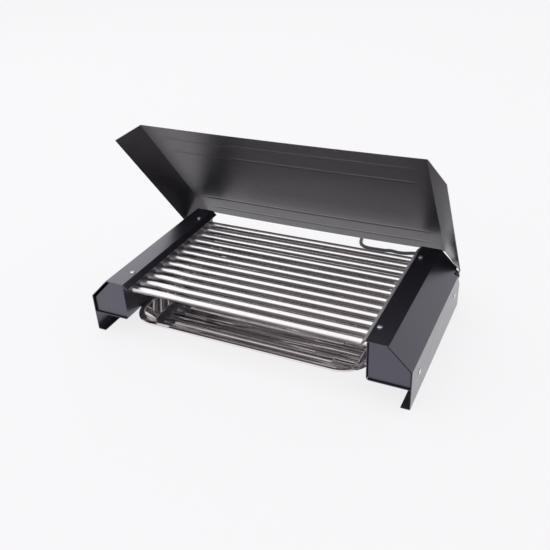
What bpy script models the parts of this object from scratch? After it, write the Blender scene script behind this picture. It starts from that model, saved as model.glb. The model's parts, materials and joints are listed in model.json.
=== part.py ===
"""Electric table grill: two folded steel side housings, twelve heating rods between them,
a stamped drip tray on rails below and a folded steel lid on two rivets at the back.

Metres, +Z up. X runs along the rods, Y from the front to the back, z = 0 is the table.
Pieces are placed in the body's frame, where x = 0 is the middle and y = 0 is the front
edge of the side covers. One empty moves that frame so that the part's origin lies under
the middle of the whole grill with its lid standing open.
"""

import math

import bmesh
import bpy
import numpy as np
from mathutils import Matrix, Vector

# Clearances and shared working values
touch_gap = 0.0003  # between pieces that bear on each other
hole_clearance = 0.0003  # around a shank, pin or rod in its hole
overrun = 0.003  # how far a cutter runs past what it cuts
weld_distance = 0.00001
bend_steps = 2  # facets in a sharp sheet bend
round_sides = 16
small_sides = 12
tiny_sides = 8
curve_fine_steps = 24  # between two points of a route, before it is spaced out
fold_angle = math.radians(45)
quarter_turn = math.radians(90)
half_turn = math.radians(180)
full_turn = 2 * half_turn
smooth_angle = math.radians(40)  # edges sharper than this stay crisp

# Body
body_depth = 0.300
body_height = 0.105
grate_width = 0.422  # between the two inner walls
housing_width = 0.0688  # each side housing, from inner wall to outer side

# Side covers, one folded sheet each
cover_sheet = 0.0012
cover_shoulder = 0.036  # the 45 degree shoulder, across and down
cover_bend = 0.0018  # outer radius of its folds
lip_overhang = 0.0015  # where the lip begins, past the inner wall
lip_reach = 0.0080  # the inner lip, in and down alike
foot_width = 0.015

# Inner channels, which close the covers from inside and carry the rods
channel_sheet = 0.0012
channel_height = 0.035  # underside above the table
channel_bend = 0.0055
channel_side_bend = 0.0020
channel_end_setback = 0.0010
channel_top_flange = 0.013
channel_side_flange = 0.013
flange_end_setback = 0.0165  # both flanges stop short of the end caps

# End caps
cap_sheet = 0.0010
front_cap_inset = 0.0040
rear_cap_inset = 0.0025
cap_flange = 0.0120
cap_rod_margin = 0.0010  # round the last rod in the rear cap's flange
cap_corner_steps = 3

# Screws
screw_head_radius = 0.0040
screw_head_height = 0.0023
screw_shank_radius = 0.0020
screw_length = 0.0080
screw_dome_share = 0.62  # of the head's radius, flat on top
screw_rim_share = 0.45  # of the head's height, at its edge
screw_front = 0.040  # from the covers' front edge
screw_rear_inset = 0.039
screw_top_offset = 0.0065  # outward from the inner wall
screw_side_rise = 0.007  # above the channels' underside

# Heating rods
rod_count = 12
rod_radius = 0.0060
rod_front = 0.030  # first rod's axis
rod_rear_inset = 0.0115  # last rod's axis, from the covers' back edge
rod_drop = 0.025  # axes below the covers' tops
rod_end_reach = 0.011  # tube past the inner wall
rod_edge = 0.0008
insulator_step = 0.0016  # in from the tube's surface
insulator_length = 0.0040
pin_radius = 0.0020
pin_length = 0.0085

# Jumper links between the rods' pins
link_sheet = 0.0012
link_width = 0.0085
link_arc_steps = 5

# Drip tray and its rails
tray_overhang = 0.004  # ahead of the covers
tray_rear_inset = 0.014
tray_side_gap = 0.002  # to each inner wall
tray_rim_rise = 0.007  # above the channels' underside
tray_corner = 0.050
tray_corner_steps = 7
tray_sheet = 0.0007
tray_rim = 0.0095
tray_rim_roll = 0.0020
tray_rim_edge = 0.0006
tray_wall_run = 0.0175
tray_floor_drop = 0.0195
tray_fillet = 0.0022
rib_count = 5
rib_width = 0.012
rib_height = 0.0016
rib_slope = 0.0030
rib_sink = 0.0003
rib_end_margin = 0.016
rib_side_margin = 0.033
rib_arc_steps = 6
rail_sheet = 0.0010
rail_ledge = 0.0080
rail_leg = 0.012
rail_front = 0.038
rail_rear_inset = 0.010

# Lid, one folded sheet with an ear at each back corner
lid_sheet = 0.0010
lid_front = 0.002  # closed, from the front edge of the covers
lid_rear_overhang = 0.004
lid_fold_inset = 0.001  # in from the covers' shoulders
lid_rise = 0.004  # closed, above the covers' tops
lid_sag = 0.0018  # of its flat between the folds, inward at the middle
lid_sag_steps = 4  # facets from the middle to the beads' ends
lid_bend = 0.0016
bead_first = 0.030  # from the nearer edge
bead_second = 0.070
bead_width = 0.0090
bead_crest = 0.0030
bead_height = 0.0014
bead_end_margin = 0.0135
bead_end_slope = 0.0050
slit_length = 0.020
slit_width = 0.0012
slit_margin = 0.0011  # to the wing's tip
wing_rear_cut = 0.0065  # how far the wing's rear edge slants back at its tip
ear_sheet = 0.0010
ear_edge_inset = 0.00015  # the wing's edge, in from the ear's outer face
ear_radius = 0.0065
ear_front_reach = 0.0095  # ahead of the hinge axis
ear_rear_reach = 0.0015
ear_steps = 10
lid_open_angle = math.radians(52.9)  # from closed to where it stands in the photo

# Hinge
hinge_inset = 0.0068  # from the covers' back edge
hinge_drop = 0.0058  # below the foot of the covers' shoulders
rivet_radius = 0.0020
rivet_head_radius = 0.0040
rivet_head_height = 0.0013
rivet_inner_radius = 0.0029
rivet_inner_height = 0.0012
rivet_dome_share = 0.6  # of the head's radius, flat on top
rivet_rim_share = 0.4  # of the head's height, at its edge
notch_rise = 0.0065  # above the foot of the shoulder
notch_front_reach = 0.0172  # ahead of the hinge axis
notch_foot_drop = 0.0182  # below the hinge axis, where the slant meets the back edge

# Wiring in the right housing
block_width = 0.028
block_depth = 0.016
block_height = 0.0165
block_edge = 0.0010
block_poles = 3
pole_pitch = 0.008
pole_hole_radius = 0.0024
pole_hole_depth = 0.0050
wire_radius = 0.0015
wire_lead_out = 0.006
wire_cover_gap = 0.007  # from a wire's axis to the cover's shoulder, at the rods' height
wire_point_spacing = 0.0075

# Mains lead
cord_diameter = 0.007
entry_offset = 0.029  # outward from the inner wall
entry_rise = 0.0108  # above the channel's floor
cord_point_spacing = 0.014
relief_hole_radius = 0.0056
relief_neck_radius = 0.0053
relief_flange_radius = 0.0090
relief_flange = 0.0027
relief_root_radius = 0.0072
relief_tip_radius = 0.0047
relief_length = 0.032
relief_groove_depth = 0.0010
relief_groove_width = 0.0016
relief_grooves = 3
relief_nut_radius = 0.0085
relief_nut = 0.0030
relief_barrel_radius = 0.0058
relief_barrel = 0.0090

# Coil of the spare lead behind the grill
coil_centre = (-0.0400, 0.4035)
coil_outer_radius = 0.047
coil_turn_gap = 0.0009
coil_layer_gap = 0.0008
coil_start = math.radians(10)
coil_layer_turns = 1.875
coil_points_per_turn = 24
coil_neighbour_points = 8  # stretches nearer than this aren't compared
coil_tail_steps = 4
cord_floor_gap = 0.0002

# Plug
plug_radius = 0.0180
plug_body = 0.022
plug_edge = 0.0020
plug_neck = 0.026
plug_neck_root_radius = 0.0105
plug_neck_tip_radius = 0.0055
plug_pin_radius = 0.0024
plug_pin_length = 0.019
plug_pin_spacing = 0.019
plug_pin_tip = 0.0010
plug_tail = 0.050  # lead between the coil and the plug
plug_sides = 20

# The lead's way over the table, chosen by hand in the part's own frame
cord_route = [
    (0.2400, 0.1634, 0.0470),
    (0.2400, 0.1780, 0.0466),
    (0.2398, 0.1940, 0.0432),
    (0.2385, 0.2090, 0.0355),
    (0.2360, 0.2230, 0.0245),
    (0.2318, 0.2370, 0.0135),
    (0.2250, 0.2500, 0.0062),
    (0.2155, 0.2625, 0.0038),
    (0.2030, 0.2740, 0.0037),
    (0.1880, 0.2825, 0.0037),
    (0.1720, 0.2850, 0.0037),
    (0.1560, 0.2815, 0.0037),
    (0.1420, 0.2762, 0.0037),
    (0.1280, 0.2748, 0.0037),
    (0.1140, 0.2768, 0.0037),
    (0.1000, 0.2735, 0.0037),
    (0.0860, 0.2728, 0.0037),
    (0.0720, 0.2722, 0.0037),
    (0.0595, 0.2742, 0.0037),
    (0.0495, 0.2818, 0.0037),
    (0.0440, 0.2930, 0.0037),
    (0.0410, 0.3060, 0.0037),
    (0.0370, 0.3200, 0.0037),
    (0.0300, 0.3370, 0.0037),
    (0.0220, 0.3540, 0.0037),
    (0.0150, 0.3720, 0.0037),
    (0.0101, 0.3900, 0.0037),
    (0.0076, 0.4045, 0.0037),
]

# Worked out from the sizes above
wall_x = grate_width / 2
cover_x = wall_x + housing_width
cover_inner_x = cover_x - cover_sheet
lip_x = wall_x - lip_overhang
shoulder_x = cover_x - cover_shoulder
shoulder_foot = body_height - cover_shoulder
channel_top = body_height - cover_sheet - touch_gap
channel_side_x = cover_inner_x - touch_gap
channel_floor = channel_height + channel_sheet
floor_rest = channel_floor + touch_gap  # lowest height of what stands on the channel's floor
cap_inner_x = wall_x + channel_sheet + touch_gap
rear_cap_face = body_depth - rear_cap_inset
rear_cap_inner = rear_cap_face - cap_sheet - touch_gap
rear_cap_side_x = channel_side_x - ear_sheet - touch_gap
rod_pitch = (body_depth - rod_front - rod_rear_inset) / (rod_count - 1)
rod_height = body_height - rod_drop
tube_end = wall_x + rod_end_reach
bush_end = tube_end + insulator_length
pin_end = bush_end + pin_length
tray_depth = body_depth + tray_overhang - tray_rear_inset
tray_width = grate_width - 2 * tray_side_gap
tray_rim_height = channel_height + tray_rim_rise
hinge_depth = body_depth - hinge_inset
hinge_height = shoulder_foot - hinge_drop
ear_outer_x = cover_inner_x - touch_gap
ear_inner_x = ear_outer_x - ear_sheet
lid_length = body_depth - lid_front + lid_rear_overhang
lid_rear = lid_front + lid_length - hinge_depth  # behind the hinge axis
lid_closed_height = body_height + lid_rise
lid_fold_x = shoulder_x - lid_fold_inset
wing_edge_x = ear_outer_x - ear_edge_inset
wing_edge_height = lid_closed_height - (wing_edge_x - lid_fold_x)
entry_across = wall_x + entry_offset
entry_height = channel_floor + entry_rise
relief_end = rear_cap_inner - relief_nut - relief_barrel
block_middle = relief_end - touch_gap - block_depth / 2
cord_radius = cord_diameter / 2
coil_pitch = cord_diameter + coil_turn_gap
coil_layer = cord_diameter + coil_layer_gap
coil_floor = cord_radius + cord_floor_gap


def lid_opened(depth, height):
    """Where a point of the closed lid lies, in the body's frame, when the lid stands open."""
    along = depth - hinge_depth
    above = height - hinge_height
    turned_y = along * math.cos(lid_open_angle) + above * math.sin(lid_open_angle)
    turned_z = above * math.cos(lid_open_angle) - along * math.sin(lid_open_angle)
    return hinge_depth + turned_y, hinge_height + turned_z


lid_back_reach = lid_opened(lid_front + lid_length, lid_closed_height + lid_sheet)[0]
body_front = (tray_overhang - lid_back_reach) / 2  # y of the covers' front edge in the part


def clear_scene():
    for obj in list(bpy.data.objects):
        bpy.data.objects.remove(obj, do_unlink=True)


def new_collection(name):
    collection = bpy.data.collections.new(name)
    bpy.context.scene.collection.children.link(collection)
    return collection


clear_scene()
parts = new_collection("electric_grill")
helpers = new_collection("cutters")
materials = {}


def material(name, color, roughness, metallic):
    """One Principled material per finish, made once and shared by the pieces that have it."""
    if name not in materials:
        made = bpy.data.materials.new(name)
        made.use_nodes = True
        shader = made.node_tree.nodes["Principled BSDF"]
        shader.inputs["Base Color"].default_value = (*color, 1.0)
        shader.inputs["Roughness"].default_value = roughness
        shader.inputs["Metallic"].default_value = metallic
        made.diffuse_color = (*color, 1.0)
        materials[name] = made
    return materials[name]


def satin_black():
    return material("satin_black_paint", (0.024, 0.023, 0.027), 0.36, 0.0)


def lid_black():
    return material("lid_black_enamel", (0.020, 0.019, 0.021), 0.30, 0.0)


def bright_steel():
    return material("bright_stainless_steel", (0.62, 0.60, 0.60), 0.16, 1.0)


def polished_steel():
    return material("polished_stainless_sheet", (0.55, 0.54, 0.55), 0.10, 1.0)


def zinc():
    return material("zinc_plated_steel", (0.60, 0.61, 0.64), 0.30, 1.0)


def brass():
    return material("nickel_plated_brass", (0.58, 0.52, 0.40), 0.28, 1.0)


def ceramic():
    return material("white_ceramic", (0.78, 0.75, 0.68), 0.45, 0.0)


def black_rubber():
    return material("black_rubber", (0.022, 0.022, 0.023), 0.62, 0.0)


def braided_lead():
    return material("dark_grey_lead", (0.055, 0.055, 0.060), 0.78, 0.0)


def wire_sleeve(name, color):
    return material(name, color, 0.55, 0.0)


def body_frame():
    """The empty that all pieces of the grill hang from."""
    frame = bpy.data.objects.new("body_frame", None)
    frame.location = (0, body_front, 0)
    parts.objects.link(frame)
    return frame


frame = body_frame()


def add_object(name, mesh, finish, location=(0, 0, 0), parent=frame):
    obj = bpy.data.objects.new(name, mesh)
    obj.location = location
    obj.parent = parent
    parts.objects.link(obj)
    mesh.materials.clear()
    mesh.materials.append(finish)
    return obj


def as_cutter(name, mesh, parent=frame, matrix=None):
    """A helper that cuts or joins another object and isn't built itself."""
    cutter = bpy.data.objects.new(name, mesh)
    cutter.parent = parent
    if matrix is not None:
        cutter.matrix_local = matrix
    helpers.objects.link(cutter)
    cutter.hide_render = True
    cutter.display_type = "WIRE"
    return cutter


def combine(obj, helper, operation="DIFFERENCE"):
    modifier = obj.modifiers.new(helper.name, "BOOLEAN")
    modifier.operation = operation
    modifier.solver = "EXACT"
    modifier.object = helper
    return modifier


def thicken(obj, thickness, offset=-1.0):
    modifier = obj.modifiers.new("sheet", "SOLIDIFY")
    modifier.thickness = thickness
    modifier.offset = offset
    modifier.use_even_offset = True
    modifier.use_quality_normals = True
    return modifier


def mesh_from(name, build):
    """A mesh filled by build(bm), with its double points merged."""
    mesh = bpy.data.meshes.new(name)
    bm = bmesh.new()
    build(bm)
    bmesh.ops.remove_doubles(bm, verts=bm.verts, dist=weld_distance)
    bm.normal_update()
    bm.to_mesh(mesh)
    bm.free()
    return mesh


def evaluated_copy(obj, name):
    """The object's mesh with its modifiers applied, in its own coordinates."""
    bpy.context.view_layer.update()
    depsgraph = bpy.context.evaluated_depsgraph_get()
    mesh = bpy.data.meshes.new_from_object(obj.evaluated_get(depsgraph))
    mesh.name = name
    return mesh


def mirrored(obj, name):
    """A left-hand copy of a right-hand piece, as it is when this is called."""
    mesh = evaluated_copy(obj, name)
    mesh.transform(Matrix.Scale(-1, 4, Vector((1, 0, 0))))
    mesh.flip_normals()
    location = (-obj.location.x, obj.location.y, obj.location.z)
    return add_object(name, mesh, obj.data.materials[0], location)


def shade_round(mesh):
    mesh.shade_smooth()
    mesh.set_sharp_from_angle(angle=smooth_angle)


def arc_points(centre, radius, start, end, steps):
    angles = [start + (end - start) * i / steps for i in range(steps + 1)]
    return [(centre[0] + radius * math.cos(a), centre[1] + radius * math.sin(a)) for a in angles]


def bend_arc(before, corner, after, radius, steps):
    """The points of the fillet that rounds one corner of a line."""
    corner = Vector(corner)
    back = (Vector(before) - corner).normalized()
    ahead = (Vector(after) - corner).normalized()
    half = back.angle(ahead) / 2
    start = corner + back * radius / math.tan(half)
    centre = corner + (back + ahead).normalized() * radius / math.sin(half)
    first = start - centre
    from_angle = math.atan2(first.y, first.x)
    turn = math.pi - 2 * half
    if back.x * ahead.y - back.y * ahead.x > 0:
        turn = -turn
    return arc_points(centre, radius, from_angle, from_angle + turn, steps)


def folded_line(corners, radii, steps):
    """An open line through the corners, each fold an arc of its own radius and steps."""
    line = [tuple(corners[0])]
    for i, (before, corner, after) in enumerate(zip(corners, corners[1:], corners[2:])):
        line += bend_arc(before, corner, after, radii[i], steps[i])
    line.append(tuple(corners[-1]))
    return line


def rounded_outline(corners, radii, steps):
    """A closed outline whose corners are arcs, or sharp where the radius is zero."""
    outline = []
    count = len(corners)
    for i, corner in enumerate(corners):
        if radii[i] == 0:
            outline.append(tuple(corner))
        else:
            after = corners[(i + 1) % count]
            outline += bend_arc(corners[i - 1], corner, after, radii[i], steps)
    return outline


def folded_sheet(name, line, y_start, y_end, thickness, finish):
    """A sheet folded along Y: line holds (x, z) points of its outer face."""

    def build(bm):
        near = [bm.verts.new((x, y_start, z)) for x, z in line]
        far = [bm.verts.new((x, y_end, z)) for x, z in line]
        for i in range(len(line) - 1):
            bm.faces.new((near[i], near[i + 1], far[i + 1], far[i]))

    obj = add_object(name, mesh_from(name, build), finish)
    thicken(obj, thickness)
    return obj


def flat_mesh(name, outlines, thickness):
    """A flat plate in its own XY plane: the first outline is its edge, the others are holes."""
    curve = bpy.data.curves.new(name, "CURVE")
    curve.dimensions = "2D"
    curve.fill_mode = "BOTH"
    curve.extrude = thickness / 2
    for outline in outlines:
        spline = curve.splines.new("POLY")
        spline.points.add(len(outline) - 1)
        for point, (u, v) in zip(spline.points, outline):
            point.co = (u, v, 0, 1)
        spline.use_cyclic_u = True
    source = bpy.data.objects.new(name, curve)
    helpers.objects.link(source)
    mesh = evaluated_copy(source, name)
    bpy.data.objects.remove(source)
    bpy.data.curves.remove(curve)
    bm = bmesh.new()
    bm.from_mesh(mesh)
    bmesh.ops.remove_doubles(bm, verts=bm.verts, dist=weld_distance)
    bmesh.ops.recalc_face_normals(bm, faces=bm.faces)
    bm.to_mesh(mesh)
    bm.free()
    return mesh


# A flat mesh lies in XY, and this stands it up with its own x along Y and its own y up
facing_x = Matrix(((0, 0, 1, 0), (1, 0, 0, 0), (0, 1, 0, 0), (0, 0, 0, 1)))

# What turns the Z axis into each of these
axis_turns = {
    "x": Matrix.Rotation(quarter_turn, 4, "Y"),
    "-x": Matrix.Rotation(-quarter_turn, 4, "Y"),
    "y": Matrix.Rotation(-quarter_turn, 4, "X"),
    "z": Matrix.Identity(4),
}


def turned(name, profile, sides, finish, location, axis, parent=frame):
    """A turned piece. profile runs (radius, place along axis) down its outer side from the far end."""

    def build(bm):
        points = [bm.verts.new((radius, 0, along)) for radius, along in profile]
        for first, second in zip(points, points[1:]):
            bm.edges.new((first, second))

    source = as_cutter(name, mesh_from(name, build), None)
    modifier = source.modifiers.new("turn", "SCREW")
    modifier.steps = sides
    modifier.render_steps = sides
    modifier.use_merge_vertices = True
    modifier.merge_threshold = weld_distance
    mesh = evaluated_copy(source, name)
    bpy.data.objects.remove(source)
    mesh.transform(axis_turns[axis])
    shade_round(mesh)
    return add_object(name, mesh, finish, location, parent)


def drill(name, holes, radius, length, sides):
    """Cutters for round holes, joined in one helper. holes are (middle, axis) pairs."""

    def build(bm):
        for middle, axis in holes:
            bmesh.ops.create_cone(
                bm,
                cap_ends=True,
                segments=sides,
                radius1=radius,
                radius2=radius,
                depth=length,
                matrix=Matrix.Translation(middle) @ axis_turns[axis],
            )

    return as_cutter(name, mesh_from(name, build))


def block_cutter(name, low, high):
    """A helper box between its lowest and highest corner."""
    size = [b - a for a, b in zip(low, high)]
    middle = [(a + b) / 2 for a, b in zip(low, high)]
    place = Matrix.Translation(middle) @ Matrix.Diagonal((*size, 1))

    def build(bm):
        bmesh.ops.create_cube(bm, size=1, matrix=place)

    return as_cutter(name, mesh_from(name, build))


def smooth_curve(points, spacing):
    """Points about spacing apart on a smooth curve through the given ones."""
    route = [Vector(p) for p in points]
    ends = [2 * route[0] - route[1], *route, 2 * route[-1] - route[-2]]
    dense = []
    for p0, p1, p2, p3 in zip(ends, ends[1:], ends[2:], ends[3:]):
        for i in range(curve_fine_steps):
            t = i / curve_fine_steps
            square = (2 * p0 - 5 * p1 + 4 * p2 - p3) * t**2
            cube = (3 * p1 - p0 - 3 * p2 + p3) * t**3
            dense.append((2 * p1 + (p2 - p0) * t + square + cube) / 2)
    dense.append(route[-1])
    lengths = np.cumsum([0.0] + [(b - a).length for a, b in zip(dense, dense[1:])])
    count = max(2, round(float(lengths[-1]) / spacing) + 1)
    wanted = np.linspace(0, float(lengths[-1]), count)
    table = np.array([tuple(p) for p in dense])
    return [tuple(float(np.interp(w, lengths, table[:, k])) for k in range(3)) for w in wanted]


def eased(start, start_way, end, end_way, steps):
    """Points after start, up to end, on a curve that leaves and arrives along the two ways."""
    reach = (end - start).length
    points = []
    for i in range(1, steps + 1):
        t = i / steps
        square = t**2
        cube = t**3
        place = start * (2 * cube - 3 * square + 1) + end * (3 * square - 2 * cube)
        place += start_way * reach * (cube - 2 * square + t) + end_way * reach * (cube - square)
        points.append(tuple(place))
    return points


def tube(name, points, radius, resolution, finish, parent=None):
    """A round lead or wire along the points, with closed ends."""
    curve = bpy.data.curves.new(name, "CURVE")
    curve.dimensions = "3D"
    curve.bevel_depth = radius
    curve.bevel_resolution = resolution
    curve.use_fill_caps = True
    spline = curve.splines.new("POLY")
    spline.points.add(len(points) - 1)
    for point, place in zip(spline.points, points):
        point.co = (*place, 1)
    curve.materials.append(finish)
    obj = bpy.data.objects.new(name, curve)
    obj.parent = parent
    parts.objects.link(obj)
    return obj


def make_cover():
    """Right side cover: lip, top, shoulder, side and foot, folded from one sheet."""
    corners = [
        (lip_x - lip_reach, body_height - lip_reach),
        (lip_x, body_height),
        (shoulder_x, body_height),
        (cover_x, body_height - cover_shoulder),
        (cover_x, 0),
        (cover_x - foot_width, 0),
    ]
    line = folded_line(corners, [cover_bend] * 4, [bend_steps] * 3 + [bend_steps + 1])
    cover = folded_sheet("right_cover", line, 0, body_depth, cover_sheet, satin_black())
    notch_top = shoulder_foot + notch_rise
    notch_front = hinge_depth - notch_front_reach
    notch_foot = hinge_height - notch_foot_drop
    slope = (notch_top - notch_foot) / (body_depth - notch_front)
    notch = [
        (notch_front, notch_top),
        (body_depth + overrun, notch_foot - slope * overrun),
        (body_depth + overrun, notch_top),
    ]
    notch_mesh = flat_mesh("hinge_notch", [notch], cover_shoulder)
    notch_place = Matrix.Translation((cover_x, 0, 0)) @ facing_x
    combine(cover, as_cutter("hinge_notch", notch_mesh, frame, notch_place))
    combine(cover, screw_holes("cover_screw_holes"))
    return cover


def screw_places():
    """Head side of each right-hand screw, with the axis it is driven along."""
    across = wall_x + screw_top_offset
    rear = body_depth - screw_rear_inset
    side_height = channel_height + screw_side_rise
    return {
        "top_front": ((across, screw_front, body_height), "z"),
        "top_rear": ((across, rear, body_height), "z"),
        "side_front": ((cover_x, screw_front, side_height), "x"),
        "side_rear": ((cover_x, rear, side_height), "x"),
    }


def screw_holes(name):
    """One helper with all four holes of the right housing."""
    radius = screw_shank_radius + hole_clearance
    return drill(name, screw_places().values(), radius, 2 * (screw_length + overrun), small_sides)


def make_channel():
    """Right inner channel: wall with the rod holes, rounded floor, two screwed flanges."""
    corners = [
        (channel_side_x, channel_height + channel_side_flange),
        (channel_side_x, channel_height),
        (wall_x, channel_height),
        (wall_x, channel_top),
        (wall_x + channel_top_flange, channel_top),
    ]
    radii = [channel_side_bend, channel_bend, cover_bend]
    line = folded_line(corners, radii, [bend_steps + 1, 2 * bend_steps + 1, bend_steps + 1])
    start = channel_end_setback
    end = body_depth - channel_end_setback
    channel = folded_sheet("right_inner_channel", line, start, end, channel_sheet, satin_black())
    for label, near, far in (
        ("front", -overrun, flange_end_setback),
        ("rear", body_depth - flange_end_setback, body_depth + overrun),
    ):
        low = (cap_inner_x, near, floor_rest)
        combine(channel, block_cutter(f"flange_relief_{label}", low, (cover_x, far, body_height)))
    wall_middle = wall_x + channel_sheet / 2
    holes = [((wall_middle, rod_place(i), rod_height), "x") for i in range(rod_count)]
    length = channel_sheet + 2 * overrun
    combine(channel, drill("rod_holes", holes, rod_radius + hole_clearance, length, round_sides))
    combine(channel, screw_holes("channel_screw_holes"))
    return channel


def rod_place(index):
    return rod_front + index * rod_pitch


def cap_outline(side_x):
    """The housing's section inside its cover and channel, as (x, z) corners."""
    inset = cover_sheet + touch_gap
    high = body_height - inset
    slant = cover_x + shoulder_foot - inset / math.sin(fold_angle)
    corners = [
        (cap_inner_x, floor_rest),
        (side_x, floor_rest),
        (side_x, slant - side_x),
        (slant - high, high),
        (cap_inner_x, high),
    ]
    corner_radius = channel_bend - channel_sheet - touch_gap
    radii = [corner_radius, channel_side_bend, 0, 0, 0]
    return rounded_outline(corners, radii, cap_corner_steps)


def make_cap(name, outline, face_y, flange_end):
    """A pressed end cap: a plate with a flange all round, open on its inner side."""
    forward = flange_end > face_y

    def build(bm):
        rim = [bm.verts.new((x, face_y, z)) for x, z in outline]
        face = bm.faces.new(rim)
        edges = list(face.edges)
        grown = bmesh.ops.extrude_edge_only(bm, edges=edges)["geom"]
        moved = [v for v in grown if isinstance(v, bmesh.types.BMVert)]
        bmesh.ops.translate(bm, verts=moved, vec=(0, flange_end - face_y, 0))
        bmesh.ops.recalc_face_normals(bm, faces=bm.faces)
        face.normal_update()
        if (face.normal.y > 0) == forward:
            bmesh.ops.reverse_faces(bm, faces=bm.faces)

    cap = add_object(name, mesh_from(name, build), satin_black())
    thicken(cap, cap_sheet)
    return cap


def make_front_cap():
    outline = cap_outline(channel_side_x)
    return make_cap("right_front_cap", outline, front_cap_inset, front_cap_inset + cap_flange)


def make_rear_cap():
    """The back cap stands off the cover's side, to leave room for the lid's ear."""
    outline = cap_outline(rear_cap_side_x)
    cap = make_cap("right_rear_cap", outline, rear_cap_face, rear_cap_face - cap_flange)
    hole = ((rear_cap_side_x - cap_sheet / 2, hinge_depth, hinge_height), "x")
    hole_radius = rivet_radius + hole_clearance
    combine(cap, drill("cap_rivet_hole", [hole], hole_radius, cap_sheet + overrun, small_sides))
    combine(cap, last_rod_relief())
    return cap


def last_rod_relief():
    """A slot in the rear cap's inner flange, where the last rod passes."""
    room = rod_radius + cap_rod_margin
    start = rear_cap_face - cap_flange - overrun
    end = rod_place(rod_count - 1) + room
    low = (cap_inner_x - cap_rod_margin, start, rod_height - room)
    high = (cap_inner_x + cap_sheet + cap_rod_margin, end, rod_height + room)
    return block_cutter("last_rod_relief", low, high)


def cut_cord_entry(cap):
    hole = ((entry_across, rear_cap_face - cap_sheet / 2, entry_height), "y")
    combine(cap, drill("cord_entry", [hole], relief_hole_radius, cap_sheet + overrun, round_sides))


def make_screw(name, place, axis, side):
    """A pan head screw, driven inward from the given face."""
    profile = [
        (0, screw_head_height),
        (screw_dome_share * screw_head_radius, screw_head_height),
        (screw_head_radius, screw_rim_share * screw_head_height),
        (screw_head_radius, touch_gap),
        (screw_shank_radius, touch_gap),
        (screw_shank_radius, -screw_length),
        (0, -screw_length),
    ]
    if side < 0 and axis == "x":
        axis = "-x"
    where = (side * place[0], place[1], place[2])
    return turned(name, profile, small_sides, zinc(), where, axis)


def make_screws():
    for side, hand in ((1, "right"), (-1, "left")):
        for label, (place, axis) in screw_places().items():
            make_screw(f"{hand}_screw_{label}", place, axis, side)


def make_rod(index):
    """A tubular element: steel tube, ceramic bush and terminal pin at both ends."""
    insulator_radius = rod_radius - insulator_step
    half = [
        (0, pin_end),
        (pin_radius, pin_end),
        (pin_radius, bush_end),
        (insulator_radius, bush_end),
        (insulator_radius, tube_end),
        (rod_radius - rod_edge, tube_end),
        (rod_radius, tube_end - rod_edge),
    ]
    profile = half + [(radius, -along) for radius, along in reversed(half)]
    name = f"heating_rod_{index + 1:02d}"
    place = (0, rod_place(index), rod_height)
    return turned(name, profile, round_sides, bright_steel(), place, "x")


def make_link(name, first_rod, side):
    """A flat strip that joins the pins of two neighbouring rods."""
    first = (rod_place(first_rod), rod_height)
    second = (rod_place(first_rod + 1), rod_height)
    edge = arc_points(first, link_width / 2, quarter_turn, quarter_turn + half_turn, link_arc_steps)
    edge += arc_points(second, link_width / 2, -quarter_turn, quarter_turn, link_arc_steps)
    outlines = [edge]
    for middle in (first, second):
        hole = arc_points(middle, pin_radius + hole_clearance, 0, full_turn, tiny_sides)
        outlines.append(hole[:-1])
    mesh = flat_mesh(name, outlines, link_sheet)
    mesh.transform(facing_x)
    shade_round(mesh)
    across = bush_end + touch_gap + link_sheet / 2
    return add_object(name, mesh, brass(), (side * across, 0, 0))


def make_links():
    """The rods are wired one after another, so both free pins are in the right housing."""
    for number, first_rod in enumerate(range(0, rod_count - 1, 2), 1):
        make_link(f"left_link_{number}", first_rod, -1)
    for number, first_rod in enumerate(range(1, rod_count - 2, 2), 1):
        make_link(f"right_link_{number}", first_rod, 1)


def tray_ring(inset, height, corner):
    """One closed ring of the tray: a rectangle with round corners, as points."""
    half = tray_width / 2 - inset
    front = inset
    back = tray_depth - inset
    corners = [(-half, front), (half, front), (half, back), (-half, back)]
    ring = rounded_outline(corners, [corner] * 4, tray_corner_steps)
    return [(x, y, height) for x, y in ring]


def make_tray():
    """The stamped tray: rolled rim, flat flange, sloping wall and a floor with long ribs."""
    wall_start = tray_rim
    wall_end = tray_rim + tray_wall_run
    slope_length = math.hypot(tray_wall_run, tray_floor_drop)
    run = tray_wall_run / slope_length
    fall = tray_floor_drop / slope_length
    sections = [
        (0, -tray_rim_roll),
        (0, -tray_rim_edge),
        (tray_rim_edge, 0),
        (wall_start - tray_fillet, 0),
        (wall_start + tray_fillet * run, -tray_fillet * fall),
        (wall_end - tray_fillet * run, tray_fillet * fall - tray_floor_drop),
        (wall_end + tray_fillet, -tray_floor_drop),
    ]

    def build(bm):
        rings = []
        for inset, height in sections:
            points = tray_ring(inset, height, tray_corner - inset)
            rings.append([bm.verts.new(p) for p in points])
        for outer, inner in zip(rings, rings[1:]):
            count = len(outer)
            for i in range(count):
                j = (i + 1) % count
                bm.faces.new((outer[i], outer[j], inner[j], inner[i]))
        bm.faces.new(rings[-1])

    location = (0, -tray_overhang, tray_rim_height)
    mesh = mesh_from("drip_tray", build)
    shade_round(mesh)
    tray = add_object("drip_tray", mesh, polished_steel(), location)
    thicken(tray, tray_sheet)
    floor = -tray_floor_drop
    combine(tray, rib_helper("rib_crests", floor - rib_sink, floor + rib_height), "UNION")
    under = floor - tray_sheet
    combine(tray, rib_helper("rib_hollows", under - overrun, under + rib_height))
    return tray


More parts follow.
